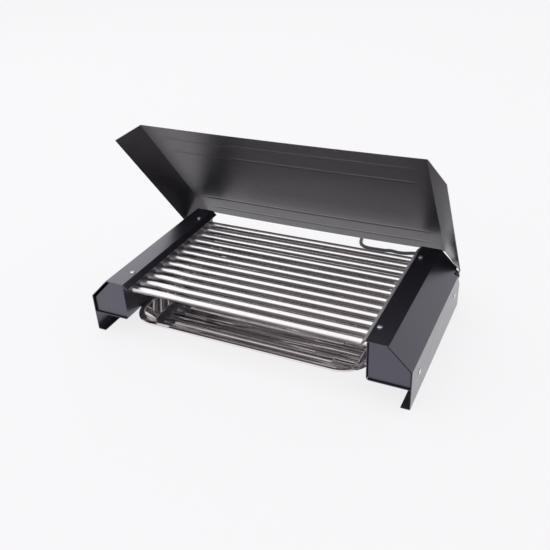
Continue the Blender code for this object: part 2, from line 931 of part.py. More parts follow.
def rib_helper(name, low, high):
    """Long flat ribs with round ends along X, whose sides slope by the ribs' own slant."""
    floor_inset = tray_rim + tray_wall_run + tray_fillet
    floor_front = floor_inset + rib_end_margin
    floor_back = tray_depth - floor_inset - rib_end_margin
    pitch = (floor_back - floor_front) / (rib_count - 1)
    crest_half_length = tray_width / 2 - floor_inset - rib_side_margin - rib_slope
    crest_radius = rib_width / 2 - rib_slope
    foot_radius = crest_radius + rib_slope * (high - low) / rib_height
    end_x = crest_half_length - crest_radius

    def stadium(middle, radius):
        right = arc_points((end_x, middle), radius, -quarter_turn, quarter_turn, rib_arc_steps)
        left = arc_points((-end_x, middle), radius, quarter_turn, quarter_turn + half_turn, rib_arc_steps)
        return right + left

    def build(bm):
        for i in range(rib_count):
            middle = floor_front + i * pitch
            foot = [bm.verts.new((x, y, low)) for x, y in stadium(middle, foot_radius)]
            crest = [bm.verts.new((x, y, high)) for x, y in stadium(middle, crest_radius)]
            bm.faces.new(reversed(foot))
            bm.faces.new(crest)
            count = len(foot)
            for j in range(count):
                k = (j + 1) % count
                bm.faces.new((foot[j], foot[k], crest[k], crest[j]))

    place = Matrix.Translation((0, -tray_overhang, tray_rim_height))
    return as_cutter(name, mesh_from(name, build), frame, place)


def make_rail():
    """The right rail: a strip folded to an L, on the inner wall, with the tray on its ledge."""
    ledge_top = tray_rim_height - tray_rim_roll - touch_gap
    low = ledge_top - rail_sheet
    outer = wall_x - touch_gap
    corners = [
        (outer, low + rail_leg),
        (outer, low),
        (outer - rail_ledge, low),
    ]
    bend = rail_sheet + touch_gap
    line = folded_line(corners, [bend], [bend_steps])
    rear = body_depth - rail_rear_inset
    return folded_sheet("right_tray_rail", line, rail_front, rear, rail_sheet, satin_black())


def lid_flat_height(x):
    """Height of the closed lid's inner face across its flat, which sags a little."""
    return lid_closed_height - lid_sag * (1 - (x / lid_fold_x) ** 2)


def lid_columns():
    """The closed lid's inner face across X, as (x, z, share of the bead's height)."""
    edge = (wing_edge_x, wing_edge_height)
    fold = (lid_fold_x, lid_closed_height)
    middle = (0, lid_closed_height)
    right = folded_line([middle, fold, edge], [lid_bend], [bend_steps])[1:]
    bead_end = lid_fold_x - bead_end_margin
    bead_full = bead_end - bead_end_slope
    across = [bead_full * i / lid_sag_steps for i in range(lid_sag_steps + 1)]
    flat = [(x, lid_flat_height(x), 1.0) for x in across]
    flat.append((bead_end, lid_flat_height(bead_end), 0.0))
    right_side = flat + [(x, z, 0.0) for x, z in right]
    left_side = [(-x, z, share) for x, z, share in reversed(right_side[1:])]
    return left_side + right_side


def lid_rows():
    """Places along the closed lid's length, as (y, share of the bead's height)."""
    rows = [(0, 0.0)]
    middles = [bead_first, bead_second, lid_length - bead_second, lid_length - bead_first]
    for middle in middles:
        for offset, share in (
            (-bead_width / 2, 0.0),
            (-bead_crest / 2, 1.0),
            (bead_crest / 2, 1.0),
            (bead_width / 2, 0.0),
        ):
            rows.append((middle + offset, share))
    rows.append((lid_length, 0.0))
    return rows


def make_lid():
    """The lid, drawn closed about its hinge axis and then turned to where it stands."""
    columns = lid_columns()
    rows = lid_rows()
    from_axis = lid_front - hinge_depth

    def build(bm):
        grid = []
        for y, row_share in rows:
            line = []
            for x, z, share in columns:
                rise = bead_height * share * row_share
                line.append(bm.verts.new((x, y + from_axis, z + rise - hinge_height)))
            grid.append(line)
        for near, far in zip(grid, grid[1:]):
            for i in range(len(columns) - 1):
                bm.faces.new((near[i], near[i + 1], far[i + 1], far[i]))

    location = (0, hinge_depth, hinge_height)
    lid = add_object("lid", mesh_from("lid", build), lid_black(), location)
    thicken(lid, lid_sheet, 1.0)
    for side, hand in ((1, "right"), (-1, "left")):
        combine(lid, wing_cut_helper(f"{hand}_wing_cut", side, lid))
        combine(lid, ear_helper(f"{hand}_ear", side, lid), "UNION")
        combine(lid, slit_helper(f"{hand}_slit", side, lid))
    lid.rotation_euler = (-lid_open_angle, 0, 0)
    return lid


def ear_helper(name, side, lid):
    """The tab folded down from the wing, round about the hinge axis, with the rivet's hole."""
    top = wing_edge_height - hinge_height + lid_sheet * math.sin(fold_angle)
    lobe = arc_points((0, 0), ear_radius, half_turn, full_turn, ear_steps)
    edge = [(-ear_front_reach, top), *lobe, (ear_rear_reach, top)]
    hole_radius = rivet_radius + hole_clearance
    hole = arc_points((0, 0), hole_radius, 0, full_turn, small_sides)[:-1]
    mesh = flat_mesh(name, [edge, hole], ear_sheet)
    middle = side * (ear_inner_x + ear_outer_x) / 2
    return as_cutter(name, mesh, lid, Matrix.Translation((middle, 0, 0)) @ facing_x)


def wing_cut_helper(name, side, lid):
    """What trims the wing's rear edge to a slant that clears the cover's shoulder."""
    slope = wing_rear_cut / (wing_edge_x - lid_fold_x)
    beyond = wing_edge_x + overrun
    outline = [
        (side * lid_fold_x, lid_rear),
        (side * beyond, lid_rear - slope * (beyond - lid_fold_x)),
        (side * beyond, lid_rear + overrun),
        (side * lid_fold_x, lid_rear + overrun),
    ]
    mesh = flat_mesh(name, [outline], 2 * lid_closed_height)
    return as_cutter(name, mesh, lid)


def slit_helper(name, side, lid):
    """The narrow relief slit beside the ear, cut in from the wing's edge."""
    rear = lid_rear - wing_rear_cut
    size = (slit_length + overrun, slit_width, 4 * lid_sheet)
    along = (slit_length - overrun) / 2
    scale = Matrix.Diagonal((*size, 1))

    def build(bm):
        bmesh.ops.create_cube(bm, size=1, matrix=scale)

    wing_turn = Matrix.Rotation(side * fold_angle, 4, "Y")
    inward = Vector((-side * math.cos(fold_angle), 0, math.sin(fold_angle)))
    edge = Vector((side * wing_edge_x, 0, wing_edge_height - hinge_height))
    place = edge + inward * along + Vector((0, rear - slit_margin - slit_width / 2, 0))
    return as_cutter(name, mesh_from(name, build), lid, Matrix.Translation(place) @ wing_turn)


def make_rivet(name, side, axis):
    """The hinge rivet through the ear and the back cap's flange, head in the cover's notch."""
    outer = ear_outer_x + touch_gap
    inner = rear_cap_side_x - cap_sheet - touch_gap
    profile = [
        (0, outer + rivet_head_height),
        (rivet_dome_share * rivet_head_radius, outer + rivet_head_height),
        (rivet_head_radius, outer + rivet_rim_share * rivet_head_height),
        (rivet_head_radius, outer),
        (rivet_radius, outer),
        (rivet_radius, inner),
        (rivet_inner_radius, inner),
        (rivet_inner_radius, inner - rivet_inner_height),
        (0, inner - rivet_inner_height),
    ]
    shifted = [(radius, along - cover_x) for radius, along in profile]
    place = (side * cover_x, hinge_depth, hinge_height)
    return turned(name, shifted, small_sides, lid_black(), place, axis)


def make_terminal_block():
    """A three pole ceramic block on the channel's floor, in front of the cord entry."""
    size = (block_width, block_depth, block_height)

    def build(bm):
        made = bmesh.ops.create_cube(bm, size=1, matrix=Matrix.Diagonal((*size, 1)))
        edges = [e for v in made["verts"] for e in v.link_edges]
        bmesh.ops.bevel(bm, geom=list(set(edges)), offset=block_edge, segments=1, affect="EDGES")

    place = (entry_across, block_middle, floor_rest + block_height / 2)
    block = add_object("terminal_block", mesh_from("terminal_block", build), ceramic(), place)
    top = floor_rest + block_height
    first = entry_across - pole_pitch * (block_poles - 1) / 2
    holes = [((first + i * pole_pitch, block_middle, top), "z") for i in range(block_poles)]
    combine(block, drill("pole_holes", holes, pole_hole_radius, 2 * pole_hole_depth, tiny_sides))
    return block


def make_strain_relief():
    """The tapered sleeve that carries the lead through the back cap, with its nut inside."""
    inner_face = -cap_sheet - touch_gap
    end = inner_face - relief_nut - relief_barrel
    taper = relief_length - relief_flange - touch_gap
    profile = [(0, relief_length), (relief_tip_radius, relief_length)]
    spacing = taper / (relief_grooves + 1)
    for i in range(relief_grooves):
        top = relief_length - spacing * (i + 1) + relief_groove_width / 2
        low = top - relief_groove_width
        for along, depth in ((top, 0), (top, 1), (low, 1), (low, 0)):
            share = (relief_length - along) / taper
            outer = relief_tip_radius + (relief_root_radius - relief_tip_radius) * share
            profile.append((outer - depth * relief_groove_depth, along))
    profile += [
        (relief_root_radius, relief_flange + touch_gap),
        (relief_flange_radius, relief_flange + touch_gap),
        (relief_flange_radius, touch_gap),
        (relief_neck_radius, touch_gap),
        (relief_neck_radius, inner_face),
        (relief_nut_radius, inner_face),
        (relief_nut_radius, inner_face - relief_nut),
        (relief_barrel_radius, inner_face - relief_nut),
        (relief_barrel_radius, end),
        (0, end),
    ]
    place = (entry_across, rear_cap_face, entry_height)
    return turned("strain_relief", profile, round_sides, black_rubber(), place, "y")


def make_wires():
    """Live to the last rod's pin, neutral to the first rod's, earth to the channel's floor."""
    front_face = block_middle - block_depth / 2 - touch_gap
    level = floor_rest + block_height / 2
    pin_x = pin_end + touch_gap
    first_rod = rod_place(0)
    last_rod = rod_place(rod_count - 1)
    live_x = entry_across - pole_pitch
    neutral_x = entry_across + pole_pitch
    run_x = entry_across + block_width / 2
    side_x = shoulder_x + rod_drop - wire_cover_gap
    live = [
        (live_x, front_face, level),
        (live_x, front_face - wire_lead_out, level),
        (entry_across, front_face - 2 * wire_lead_out, level + 3 * wire_lead_out),
        (side_x, front_face + wire_lead_out, rod_height - 2 * wire_lead_out),
        (side_x, last_rod - 3 * wire_lead_out, rod_height),
        (pin_x + 2 * wire_lead_out, last_rod, rod_height),
        (pin_x + wire_lead_out, last_rod, rod_height),
        (pin_x, last_rod, rod_height),
    ]
    neutral = [
        (neutral_x, front_face, level),
        (neutral_x, front_face - wire_lead_out, level),
        (run_x, front_face - 5 * wire_lead_out, level - wire_lead_out / 2),
        (run_x, (front_face + first_rod) / 2, level),
        (side_x, first_rod + 6 * wire_lead_out, level + wire_lead_out),
        (side_x, first_rod + wire_lead_out, rod_height - wire_lead_out),
        (pin_x + 2 * wire_lead_out, first_rod, rod_height),
        (pin_x + wire_lead_out, first_rod, rod_height),
        (pin_x, first_rod, rod_height),
    ]
    earth_y = front_face - 5 * wire_lead_out
    earth = [
        (entry_across, front_face, level),
        (entry_across, front_face - wire_lead_out, level),
        (entry_across, front_face - 3 * wire_lead_out, level - wire_lead_out / 4),
        (entry_across - wire_lead_out, earth_y, floor_rest + wire_lead_out),
        (entry_across - wire_lead_out, earth_y, floor_rest),
    ]
    brown = wire_sleeve("brown_sleeve", (0.16, 0.06, 0.03))
    blue = wire_sleeve("blue_sleeve", (0.03, 0.08, 0.25))
    green = wire_sleeve("green_yellow_sleeve", (0.20, 0.38, 0.06))
    tube("live_wire", smooth_curve(live, wire_point_spacing), wire_radius, 2, brown, frame)
    tube("neutral_wire", smooth_curve(neutral, wire_point_spacing), wire_radius, 2, blue, frame)
    tube("earth_wire", smooth_curve(earth, wire_point_spacing / 2), wire_radius, 2, green, frame)


def coil_path():
    """The coil's turns: in along the lower layer, up in the half turn, out along the upper."""
    climb = half_turn / full_turn
    total = 2 * coil_layer_turns + climb
    steps = round(total * coil_points_per_turn)
    inner_radius = coil_outer_radius - coil_pitch * coil_layer_turns
    path = []
    for i in range(steps + 1):
        turn = total * i / steps
        if turn <= coil_layer_turns:
            radius = coil_outer_radius - coil_pitch * turn
            rise = 0.0
        elif turn < coil_layer_turns + climb:
            share = (turn - coil_layer_turns) / climb
            radius = inner_radius - coil_pitch * climb * share * (1 - share)
            rise = coil_layer * (1 - math.cos(half_turn * share)) / 2
        else:
            radius = inner_radius + coil_pitch * (turn - coil_layer_turns - climb)
            rise = coil_layer
        angle = coil_start + full_turn * turn
        x = coil_centre[0] + radius * math.cos(angle)
        y = coil_centre[1] + radius * math.sin(angle)
        path.append((x, y, coil_floor + rise))
    return path


def plug_axis():
    """The lead's end at the plug and the way the plug points, from the coil's last turn."""
    end = Vector(coil_path()[-1])
    plug_height = plug_radius + cord_floor_gap
    return Vector((end.x - plug_tail, end.y, plug_height)), Vector((-1, 0, 0))


def make_coil():
    """The wound spare lead as one tube, with its straight ends and the tail to the plug."""
    turns = coil_path()
    first = Vector(turns[0])
    last = Vector(turns[-1])
    entry = Vector((-math.sin(coil_start), math.cos(coil_start), 0))
    leave, way = plug_axis()
    leave_end = leave - way * touch_gap
    tail_way = (last - Vector(turns[-2])).normalized()
    tail = eased(last, tail_way, leave_end - way * cord_diameter, way, coil_tail_steps)
    points = [tuple(first - entry * cord_diameter)] + turns + tail + [tuple(leave_end)]
    report_coil_gap(turns)
    return tube("cord_coil", points, cord_radius, 1, braided_lead())


def report_coil_gap(turns):
    """Prints the least gap between two stretches of the coil that aren't neighbours."""
    centres = np.array(turns)
    middles = (centres[:-1] + centres[1:]) / 2
    samples = np.vstack([centres, middles])
    order = np.concatenate([np.arange(len(centres)), np.arange(len(middles)) + 0.5])
    away = np.linalg.norm(samples[:, None] - samples[None], axis=2)
    apart = np.abs(order[:, None] - order[None]) > coil_neighbour_points
    print(f"least gap in the coil {1000 * (away[apart].min() - cord_diameter):.2f} mm")


def make_plug():
    """A round two pin plug with side grips, lying on the table beside the coil."""
    start, way = plug_axis()
    body_end = plug_neck + plug_body
    profile = [
        (0, body_end),
        (plug_radius - plug_edge, body_end),
        (plug_radius, body_end - plug_edge),
        (plug_radius, plug_neck + plug_edge),
        (plug_radius - plug_edge, plug_neck),
        (plug_neck_root_radius, plug_neck),
        (plug_neck_tip_radius, 0),
        (0, 0),
    ]
    turned("power_plug", profile, plug_sides, black_rubber(), start, "-x", None)
    pin_profile = [
        (0, plug_pin_length),
        (plug_pin_radius - plug_pin_tip, plug_pin_length),
        (plug_pin_radius, plug_pin_length - plug_pin_tip),
        (plug_pin_radius, touch_gap),
        (0, touch_gap),
    ]
    for number, offset in ((1, -plug_pin_spacing / 2), (2, plug_pin_spacing / 2)):
        base = start + way * body_end + Vector((0, offset, 0))
        turned(f"plug_pin_{number}", pin_profile, small_sides, zinc(), base, "-x", None)


def make_cord():
    """The lead that shows: from the strain relief down to the table and round to the coil."""
    points = smooth_curve(cord_route, cord_point_spacing)
    return tube("power_cord", points, cord_radius, 2, braided_lead())


def build_grill():
    cover = make_cover()
    mirrored(cover, "left_cover")
    channel = make_channel()
    mirrored(channel, "left_inner_channel")
    front_cap = make_front_cap()
    mirrored(front_cap, "left_front_cap")
    rear_cap = make_rear_cap()
    mirrored(rear_cap, "left_rear_cap")
    cut_cord_entry(rear_cap)
    for index in range(rod_count):
        make_rod(index)
    make_links()
    make_screws()
    make_tray()
    rail = make_rail()
    mirrored(rail, "left_tray_rail")
    make_lid()
    make_rivet("right_hinge_rivet", 1, "x")
    make_rivet("left_hinge_rivet", -1, "-x")
    make_terminal_block()
    make_strain_relief()
    make_wires()
    make_cord()
    make_coil()
    make_plug()


build_grill()
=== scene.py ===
"""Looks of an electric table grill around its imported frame. Metres, +Z up, the frame's own axes."""

import json
from math import atan2, cos, hypot, pi, radians, sin, sqrt, tan

import bmesh
import bpy
import numpy as np
from mathutils import Matrix, Vector
from mathutils.geometry import delaunay_2d_cdt


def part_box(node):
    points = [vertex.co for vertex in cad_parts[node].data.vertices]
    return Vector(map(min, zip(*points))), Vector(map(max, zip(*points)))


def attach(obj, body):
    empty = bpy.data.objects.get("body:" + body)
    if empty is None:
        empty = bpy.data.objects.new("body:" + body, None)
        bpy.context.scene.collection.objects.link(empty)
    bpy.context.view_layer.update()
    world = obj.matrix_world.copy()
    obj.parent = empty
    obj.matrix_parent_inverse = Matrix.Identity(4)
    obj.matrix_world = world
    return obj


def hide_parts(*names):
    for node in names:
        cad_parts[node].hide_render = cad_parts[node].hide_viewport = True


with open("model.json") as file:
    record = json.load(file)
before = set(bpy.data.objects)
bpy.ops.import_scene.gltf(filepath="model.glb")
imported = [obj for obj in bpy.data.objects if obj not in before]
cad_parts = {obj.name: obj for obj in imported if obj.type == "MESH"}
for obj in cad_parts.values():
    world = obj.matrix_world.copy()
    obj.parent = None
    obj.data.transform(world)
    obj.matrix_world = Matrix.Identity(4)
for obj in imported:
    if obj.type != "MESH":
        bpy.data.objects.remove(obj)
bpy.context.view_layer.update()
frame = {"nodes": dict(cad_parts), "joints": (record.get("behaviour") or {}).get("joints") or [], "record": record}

quarter_turn = radians(90)
half_turn = radians(180)
full_turn = 2 * half_turn

# Places and sizes read from the frame
cover_low, cover_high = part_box("right_cover")
channel_low, channel_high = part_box("right_inner_channel")
tray_low, tray_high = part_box("drip_tray")
rail_low, rail_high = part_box("right_tray_rail")
cap_low, cap_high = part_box("right_front_cap")
rear_cap_low, rear_cap_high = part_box("right_rear_cap")
relief_low, relief_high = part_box("strain_relief")
plug_low, plug_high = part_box("power_plug")
joints = {joint["name"]: joint for joint in frame["joints"]}
hinge = Vector(joints["lid_hinge"]["pos_m"])
lid_open_angle = radians(joints["lid_hinge"]["range_deg"][1])
front_y = cover_low.y
back_y = cover_high.y
top_z = cover_high.z
cover_x = cover_high.x
wall_x = channel_low.x

# Covers, channels, caps and rails
touch_gap = 0.0003
overrun = 0.003
edge_round = 0.00018
round_angle = radians(50)  # edges sharper than this are rounded
turned_angle = radians(35)  # edges sharper than this stay sharp in shading
bend_steps = 8
cover_sheet = 0.0012
cover_shoulder = 0.036
cover_bend = 0.0018
lip_x = wall_x - 0.0015
lip_reach = lip_x - cover_low.x
foot_width = 0.015
notch_top = 0.0755
notch_front = hinge.y - 0.0172
notch_foot = 0.045
channel_sheet = 0.0012
channel_bend = 0.0055
channel_side_bend = 0.0020
channel_top_flange = 0.013
channel_side_flange = 0.013
flange_end_setback = 0.0165
cap_sheet = 0.0010
cap_edge = 0.0012
cap_flange_share = 0.9  # of the cap's sheet
front_cap_slit = 0.0011  # the shadow line beside the side plate
slant_slit_share = 3.4  # how much wider it is under the slant
lead_entry_radius = 0.0056
rail_sheet = 0.0010
rail_bend = 0.0013

# Screws
screw_head_radius = 0.0040
screw_head_height = 0.0023
screw_shank_radius = 0.0020
screw_length = 0.0080
screw_sides = 32
screw_rim_share = 0.42  # of the head's height, at its edge
screw_dome_steps = 6
screw_dome_power = 0.8
cross_reach_share = 0.62  # of the head's radius
cross_half_width_share = 0.11
cross_depth_share = 0.55  # of the head's height
screw_tilts = (0.35, 1.1, 0.7, 0.15)

# Rods
rod_count = 12
rod_radius = 0.0060
rod_sides = 48
insulator_radius = 0.0044
pin_radius = 0.0020
pin_length = 0.0085
insulator_length = 0.0040
rod_edge = 0.0008
pin_chamfer = 0.0004
face_tolerance = 0.0001
cold_end_length = 0.036
cold_end_flare = 0.0070  # height of the bump that turns the ends' shading to the middle

# Drip tray
tray_corner = 0.050
tray_sheet = 0.0007
tray_rim = 0.0095
tray_rim_roll = 0.0020
tray_wall_run = 0.0175
tray_floor_drop = 0.0195
tray_fillet = 0.0036
tray_floor_step = 0.0016
tray_corner_steps = 16
rim_roll_steps = 6
rib_count = 5
rib_half_length = 0.147
rib_half_width = 0.0062
rib_height = 0.0016
rib_slope = 0.0032
rib_front = 0.0452
rib_pitch = 0.0499

# Lid
lid_sheet = 0.0010
lid_front = 0.002
lid_length = 0.302
lid_panel_half = cover_x - cover_shoulder - 0.001
lid_sag = 0.0018
wing_fall = 0.03535
wing_rear_cut = 0.0065
lid_rise = 0.004
lid_bend = 0.0020
bead_first = 0.030
bead_second = 0.070
bead_width = 0.0090
bead_height = 0.0006
bead_end_margin = 0.0135
bead_end_slope = 0.0300
bead_middles = (bead_first, bead_second, lid_length - bead_second, lid_length - bead_first)
bead_steps = 8
bead_end_steps = 10
lid_flat_steps = 8
slit_length = 0.020
slit_width = 0.0012
slit_margin = 0.0011
ear_radius = 0.0065
ear_front_reach = 0.0095
ear_rear_reach = 0.0015
ear_steps = 24
rivet_sides = 32
rivet_radius = 0.0020
rivet_head_radius = 0.0040
rivet_rim_share = 0.25  # of the head's height, at its edge
rivet_foot_radius = 0.0029
rivet_foot_height = 0.0012
rivet_foot_edge = 0.0003

# Lead and plug
cord_diameter = 0.007
cord_radius = cord_diameter / 2
cord_floor_gap = 0.0002
coil_centre = (-0.0400, 0.4035)
coil_outer_radius = 0.047
coil_pitch = 0.0079
coil_layer = 0.0078
coil_start = radians(10)
coil_layer_turns = 1.875
coil_points_per_turn = 48
cord_spacing = 0.004
curve_steps = 24  # between two of the given points
tail_middle_share = 0.35  # of the way from the coil to the plug
relief_sides = 40
relief_taper_end = 0.0030  # from the cap's face
relief_tip_radius = 0.0047
relief_growth = 0.0025  # of the radius, from the tip to the flange
relief_edge = 0.0004
relief_grooves = 4
relief_groove_depth = 0.0009
relief_groove_shape = ((-0.0010, 0), (-0.0006, 1), (0.0006, 1), (0.0010, 0))  # as grip_shape
relief_flange_radius = 0.0090
relief_flange_edge = 0.0005
relief_neck_radius = 0.0053
relief_nut_radius = 0.0085
relief_nut_length = 0.0030
relief_inner_radius = 0.0058
plug_sides = 56
plug_edge = 0.002
plug_neck_length = 0.026
plug_neck_radius = 0.0105
plug_neck_taper = 0.0050
plug_mouth_radius = 0.0055
grip_grooves = 4
grip_first = 0.0035  # from the plug's face
grip_pitch = 0.0030
grip_depth = 0.0007
grip_shape = ((0, 0), (0.0006, 1), (0.0018, 1), (0.0024, 0))  # offset, share of the depth
neck_grooves = 5
neck_groove_first = 0.0035  # from the body
neck_groove_pitch = 0.0042
neck_groove_depth = 0.0007
neck_groove_shape = ((0, 0), (0.0004, 1), (0.0014, 1), (0.0018, 0))
prong_sides = 28
prong_edge = 0.001
cord_height = cord_radius + cord_floor_gap  # of its middle, on the table
cord_drop = [
    (0.2400, 0.1634, 0.0470),
    (0.2400, 0.1780, 0.0466),
    (0.2398, 0.1940, 0.0432),
    (0.2385, 0.2090, 0.0355),
    (0.2360, 0.2230, 0.0245),
    (0.2318, 0.2370, 0.0135),
    (0.2250, 0.2500, 0.0062),
    (0.2155, 0.2625, 0.0038),
]
cord_run = [  # on the table
    (0.2030, 0.2740), (0.1880, 0.2825), (0.1720, 0.2850), (0.1560, 0.2815),
    (0.1420, 0.2762), (0.1280, 0.2748), (0.1140, 0.2768), (0.1000, 0.2735),
    (0.0860, 0.2728), (0.0720, 0.2722), (0.0595, 0.2742), (0.0495, 0.2818),
    (0.0440, 0.2930), (0.0410, 0.3060), (0.0370, 0.3200), (0.0300, 0.3370),
    (0.0220, 0.3540), (0.0150, 0.3720), (0.0101, 0.3900), (0.0076, 0.4045),
]
cord_route = cord_drop + [(x, y, cord_height) for x, y in cord_run]

# Floor, sky and lamp
floor_radius = 12
floor_drop = 0.0001
floor_seen_share = 0.80  # of plain white, to the camera
floor_mirrored_share = 0.72  # of plain white, in reflections
sky_light = 0.75
sky_zenith = 0.80  # in reflections, straight up
sky_corner = 0.62  # in reflections, behind the grill on the right
sky_corner_way = (0.59, 0.79, 0.17)
lamp_size = (4.8, 3.6)
lamp_power = 16
lamp_place = Vector((-0.75, -0.15, 1.55))
lamp_aim = Vector((0, 0, 0.1))

# Camera, at the photo's place
camera_place = Vector((0.46059, -0.93452, 0.69481))
camera_azimuth = radians(26.83)
camera_elevation = radians(30.67)
camera_roll = radians(-3.00)
camera_lens = 45.80
sensor_width = 36.0

scene = bpy.context.scene
pieces = bpy.data.collections.new("grill_looks")
scene.collection.children.link(pieces)
helpers = bpy.data.collections.new("helpers")
scene.collection.children.link(helpers)


def place_object(name, data, collection):
    obj = bpy.data.objects.new(name, data)
    collection.objects.link(obj)
    return obj


def make_camera():
    """The photo's viewpoint, with its small roll."""
    az, el, roll = camera_azimuth, camera_elevation, camera_roll
    back = Vector((sin(az) * cos(el), -cos(az) * cos(el), sin(el)))
    level = Vector((cos(az), sin(az), 0))
    upright = back.cross(level)
    right = level * cos(roll) + upright * sin(roll)
    up = upright * cos(roll) - level * sin(roll)
    data = bpy.data.cameras.new("camera")
    data.lens = camera_lens
    data.sensor_width = sensor_width
    data.clip_start = 0.01
    data.clip_end = 100
    turn = Matrix((right, up, back)).transposed().to_4x4()
    scene.camera = place_object("camera", data, scene.collection)
    scene.camera.matrix_world = Matrix.Translation(camera_place) @ turn


make_camera()


class Graph:
    """Makes and links the nodes of a tree."""

    def __init__(self, tree):
        self.nodes = tree.nodes
        self.links = tree.links
        self.coordinates = self.nodes.new("ShaderNodeTexCoord")

    def feed(self, socket, value):
        if isinstance(value, bpy.types.NodeSocket):
            self.links.new(value, socket)
        elif isinstance(value, tuple) and len(value) == 3 and len(socket.default_value) == 4:
            socket.default_value = (*value, 1.0)
        else:
            socket.default_value = value

    def node(self, kind, inputs=None, **settings):
        """Makes a node with its settings and inputs, and gives back its outputs."""
        made = self.nodes.new(f"ShaderNode{kind}")
        for name, value in settings.items():
            setattr(made, name, value)
        for name, value in (inputs or {}).items():
            self.feed(made.inputs[name], value)
        return made.outputs

    def axis(self, vector, axis):
        return self.node("SeparateXYZ", {"Vector": vector})[axis]

    def spread(self, value, low, high, to_low, to_high, smooth=False):
        """Carries a value from one range to another, straight or eased."""
        ends = {"From Min": low, "From Max": high, "To Min": to_low, "To Max": to_high}
        way = "SMOOTHSTEP" if smooth else "LINEAR"
        return self.node("MapRange", {"Value": value, **ends}, interpolation_type=way)["Result"]

    def math(self, operation, first, second=0.0):
        return self.node("Math", {0: first, 1: second}, operation=operation)["Value"]

    def dot(self, first, second):
        return self.node("VectorMath", {0: first, 1: second}, operation="DOT_PRODUCT")["Value"]

    def rays(self):
        """1 or 0: is it a ray from the camera, and is it one in a reflection."""
        path = self.node("LightPath")
        return path["Is Camera Ray"], path["Is Glossy Ray"]


class Finish(Graph):
    """A material that is built node by node on one Principled shader."""

    def __init__(self, name):
        self.material = bpy.data.materials.new(name)
        self.material.use_nodes = True
        super().__init__(self.material.node_tree)
        self.shader = self.nodes["Principled BSDF"]

    def noise(self, scale, detail=2.0, stretch=(1, 1, 1)):
        place = {"Vector": self.coordinates.outputs["Object"], "Scale": stretch}
        vector = self.node("Mapping", place)["Vector"]
        return self.node("TexNoise", {"Vector": vector, "Scale": scale, "Detail": detail})["Fac"]

    def split(self, name, axis):
        """One axis of the surface's place or of the way it faces."""
        return self.axis(self.node("NewGeometry")[name], axis)

    def mix(self, share, first, second):
        colours = {"Factor": share, "A": first, "B": second}
        return self.node("Mix", colours, data_type="RGBA")["Result"]

    def edge(self, radius):
        """About 1 beside a sharp edge and 0 on flat ground."""
        rounded = self.node("Bevel", {"Radius": radius}, samples=4)["Normal"]
        likeness = self.dot(rounded, self.node("NewGeometry")["Normal"])
        return self.spread(likeness, 0.995, 0.85, 0.0, 1.0)

    def bump(self, height, strength, distance, below=None):
        inputs = {"Height": height, "Strength": strength, "Distance": distance}
        if below is not None:
            inputs["Normal"] = below
        return self.node("Bump", inputs)["Normal"]

    def set(self, **values):
        """Gives sockets of the shader a number, a colour or a link; _ stands for a space."""
        for name, value in values.items():
            self.feed(self.shader.inputs[name.replace("_", " ")], value)
        return self


def paint(name, dark, light, tint, roughness, coat):
    """Powder coat: faint clouds, orange peel, and edges rubbed a little lighter."""
    finish = Finish(name)
    clouds = finish.spread(finish.noise(9.0, 3.0), 0.35, 0.65, 0.0, 1.0)
    grains = finish.spread(finish.noise(1500.0, 1.0), 0.62, 0.74, 0.0, 0.35)
    colour = finish.mix(grains, finish.mix(clouds, dark, light), tuple(1.8 * c for c in light))
    wear = finish.spread(finish.noise(70.0, 4.0), 0.4, 0.7, 0.1, 0.8)
    rubbed = finish.math("MULTIPLY", finish.edge(0.0006), wear)
    colour = finish.mix(rubbed, colour, (0.055, 0.053, 0.058))
    satin = finish.spread(finish.noise(55.0, 4.0), 0.3, 0.7, roughness - 0.03, roughness + 0.04)
    skin = finish.bump(finish.noise(900.0, 2.0), 0.10, 0.00004)
    finish.set(Base_Color=colour, Roughness=satin, Normal=skin, IOR=1.6, Specular_Tint=tint)
    finish.set(Coat_Weight=coat, Coat_Roughness=roughness, Coat_IOR=1.66, Coat_Tint=(1.0, 1.0, 1.0))
    finish.set(Coat_Normal=skin)
    return finish.material


def rod_steel():
    """Satin tube: fine rings run round it; painted shade darkens its lower half, and a painted highlight makes its
    ends paler.
    """
    finish = Finish("rod_steel")
    rings = finish.noise(60.0, 3.0, (14.0, 0.5, 0.5))
    warmth = finish.spread(finish.noise(6.0, 2.0), 0.42, 0.72, 0.0, 0.35)
    steel = finish.mix(rings, (0.86, 0.84, 0.84), (0.92, 0.90, 0.905))
    colour = finish.mix(warmth, steel, (0.86, 0.815, 0.79))
    upward = finish.split("Normal", "Z")
    # Painted shade: where the surface faces downward, the colour is mixed toward dark.
    colour = finish.mix(finish.spread(upward, 0.10, 0.34, 1.0, 0.0), colour, (0.30, 0.27, 0.275))
    from_middle = finish.math("ABSOLUTE", finish.split("Position", "X"))
    toward_end = finish.spread(from_middle, wall_x - cold_end_length, wall_x, 0.0, 1.0)
    cold_end = finish.math("MULTIPLY", toward_end, toward_end)
    flare = finish.bump(cold_end, 1.0, cold_end_flare)
    # Painted highlight: near the ends the colour turns paler and the steel less metallic.
    colour = finish.mix(cold_end, colour, (0.97, 0.955, 0.96))
    metal = finish.spread(cold_end, 0.0, 1.0, 0.88, 0.75)
    rough = finish.spread(rings, 0.3, 0.7, 0.18, 0.24)
    round_it = finish.node("Tangent", direction_type="RADIAL", axis="X")["Tangent"]
    finish.set(Base_Color=colour, Roughness=rough, Metallic=metal, Normal=flare)
    finish.set(Anisotropic=0.3, Anisotropic_Rotation=0.25, Tangent=round_it)
    return finish.material


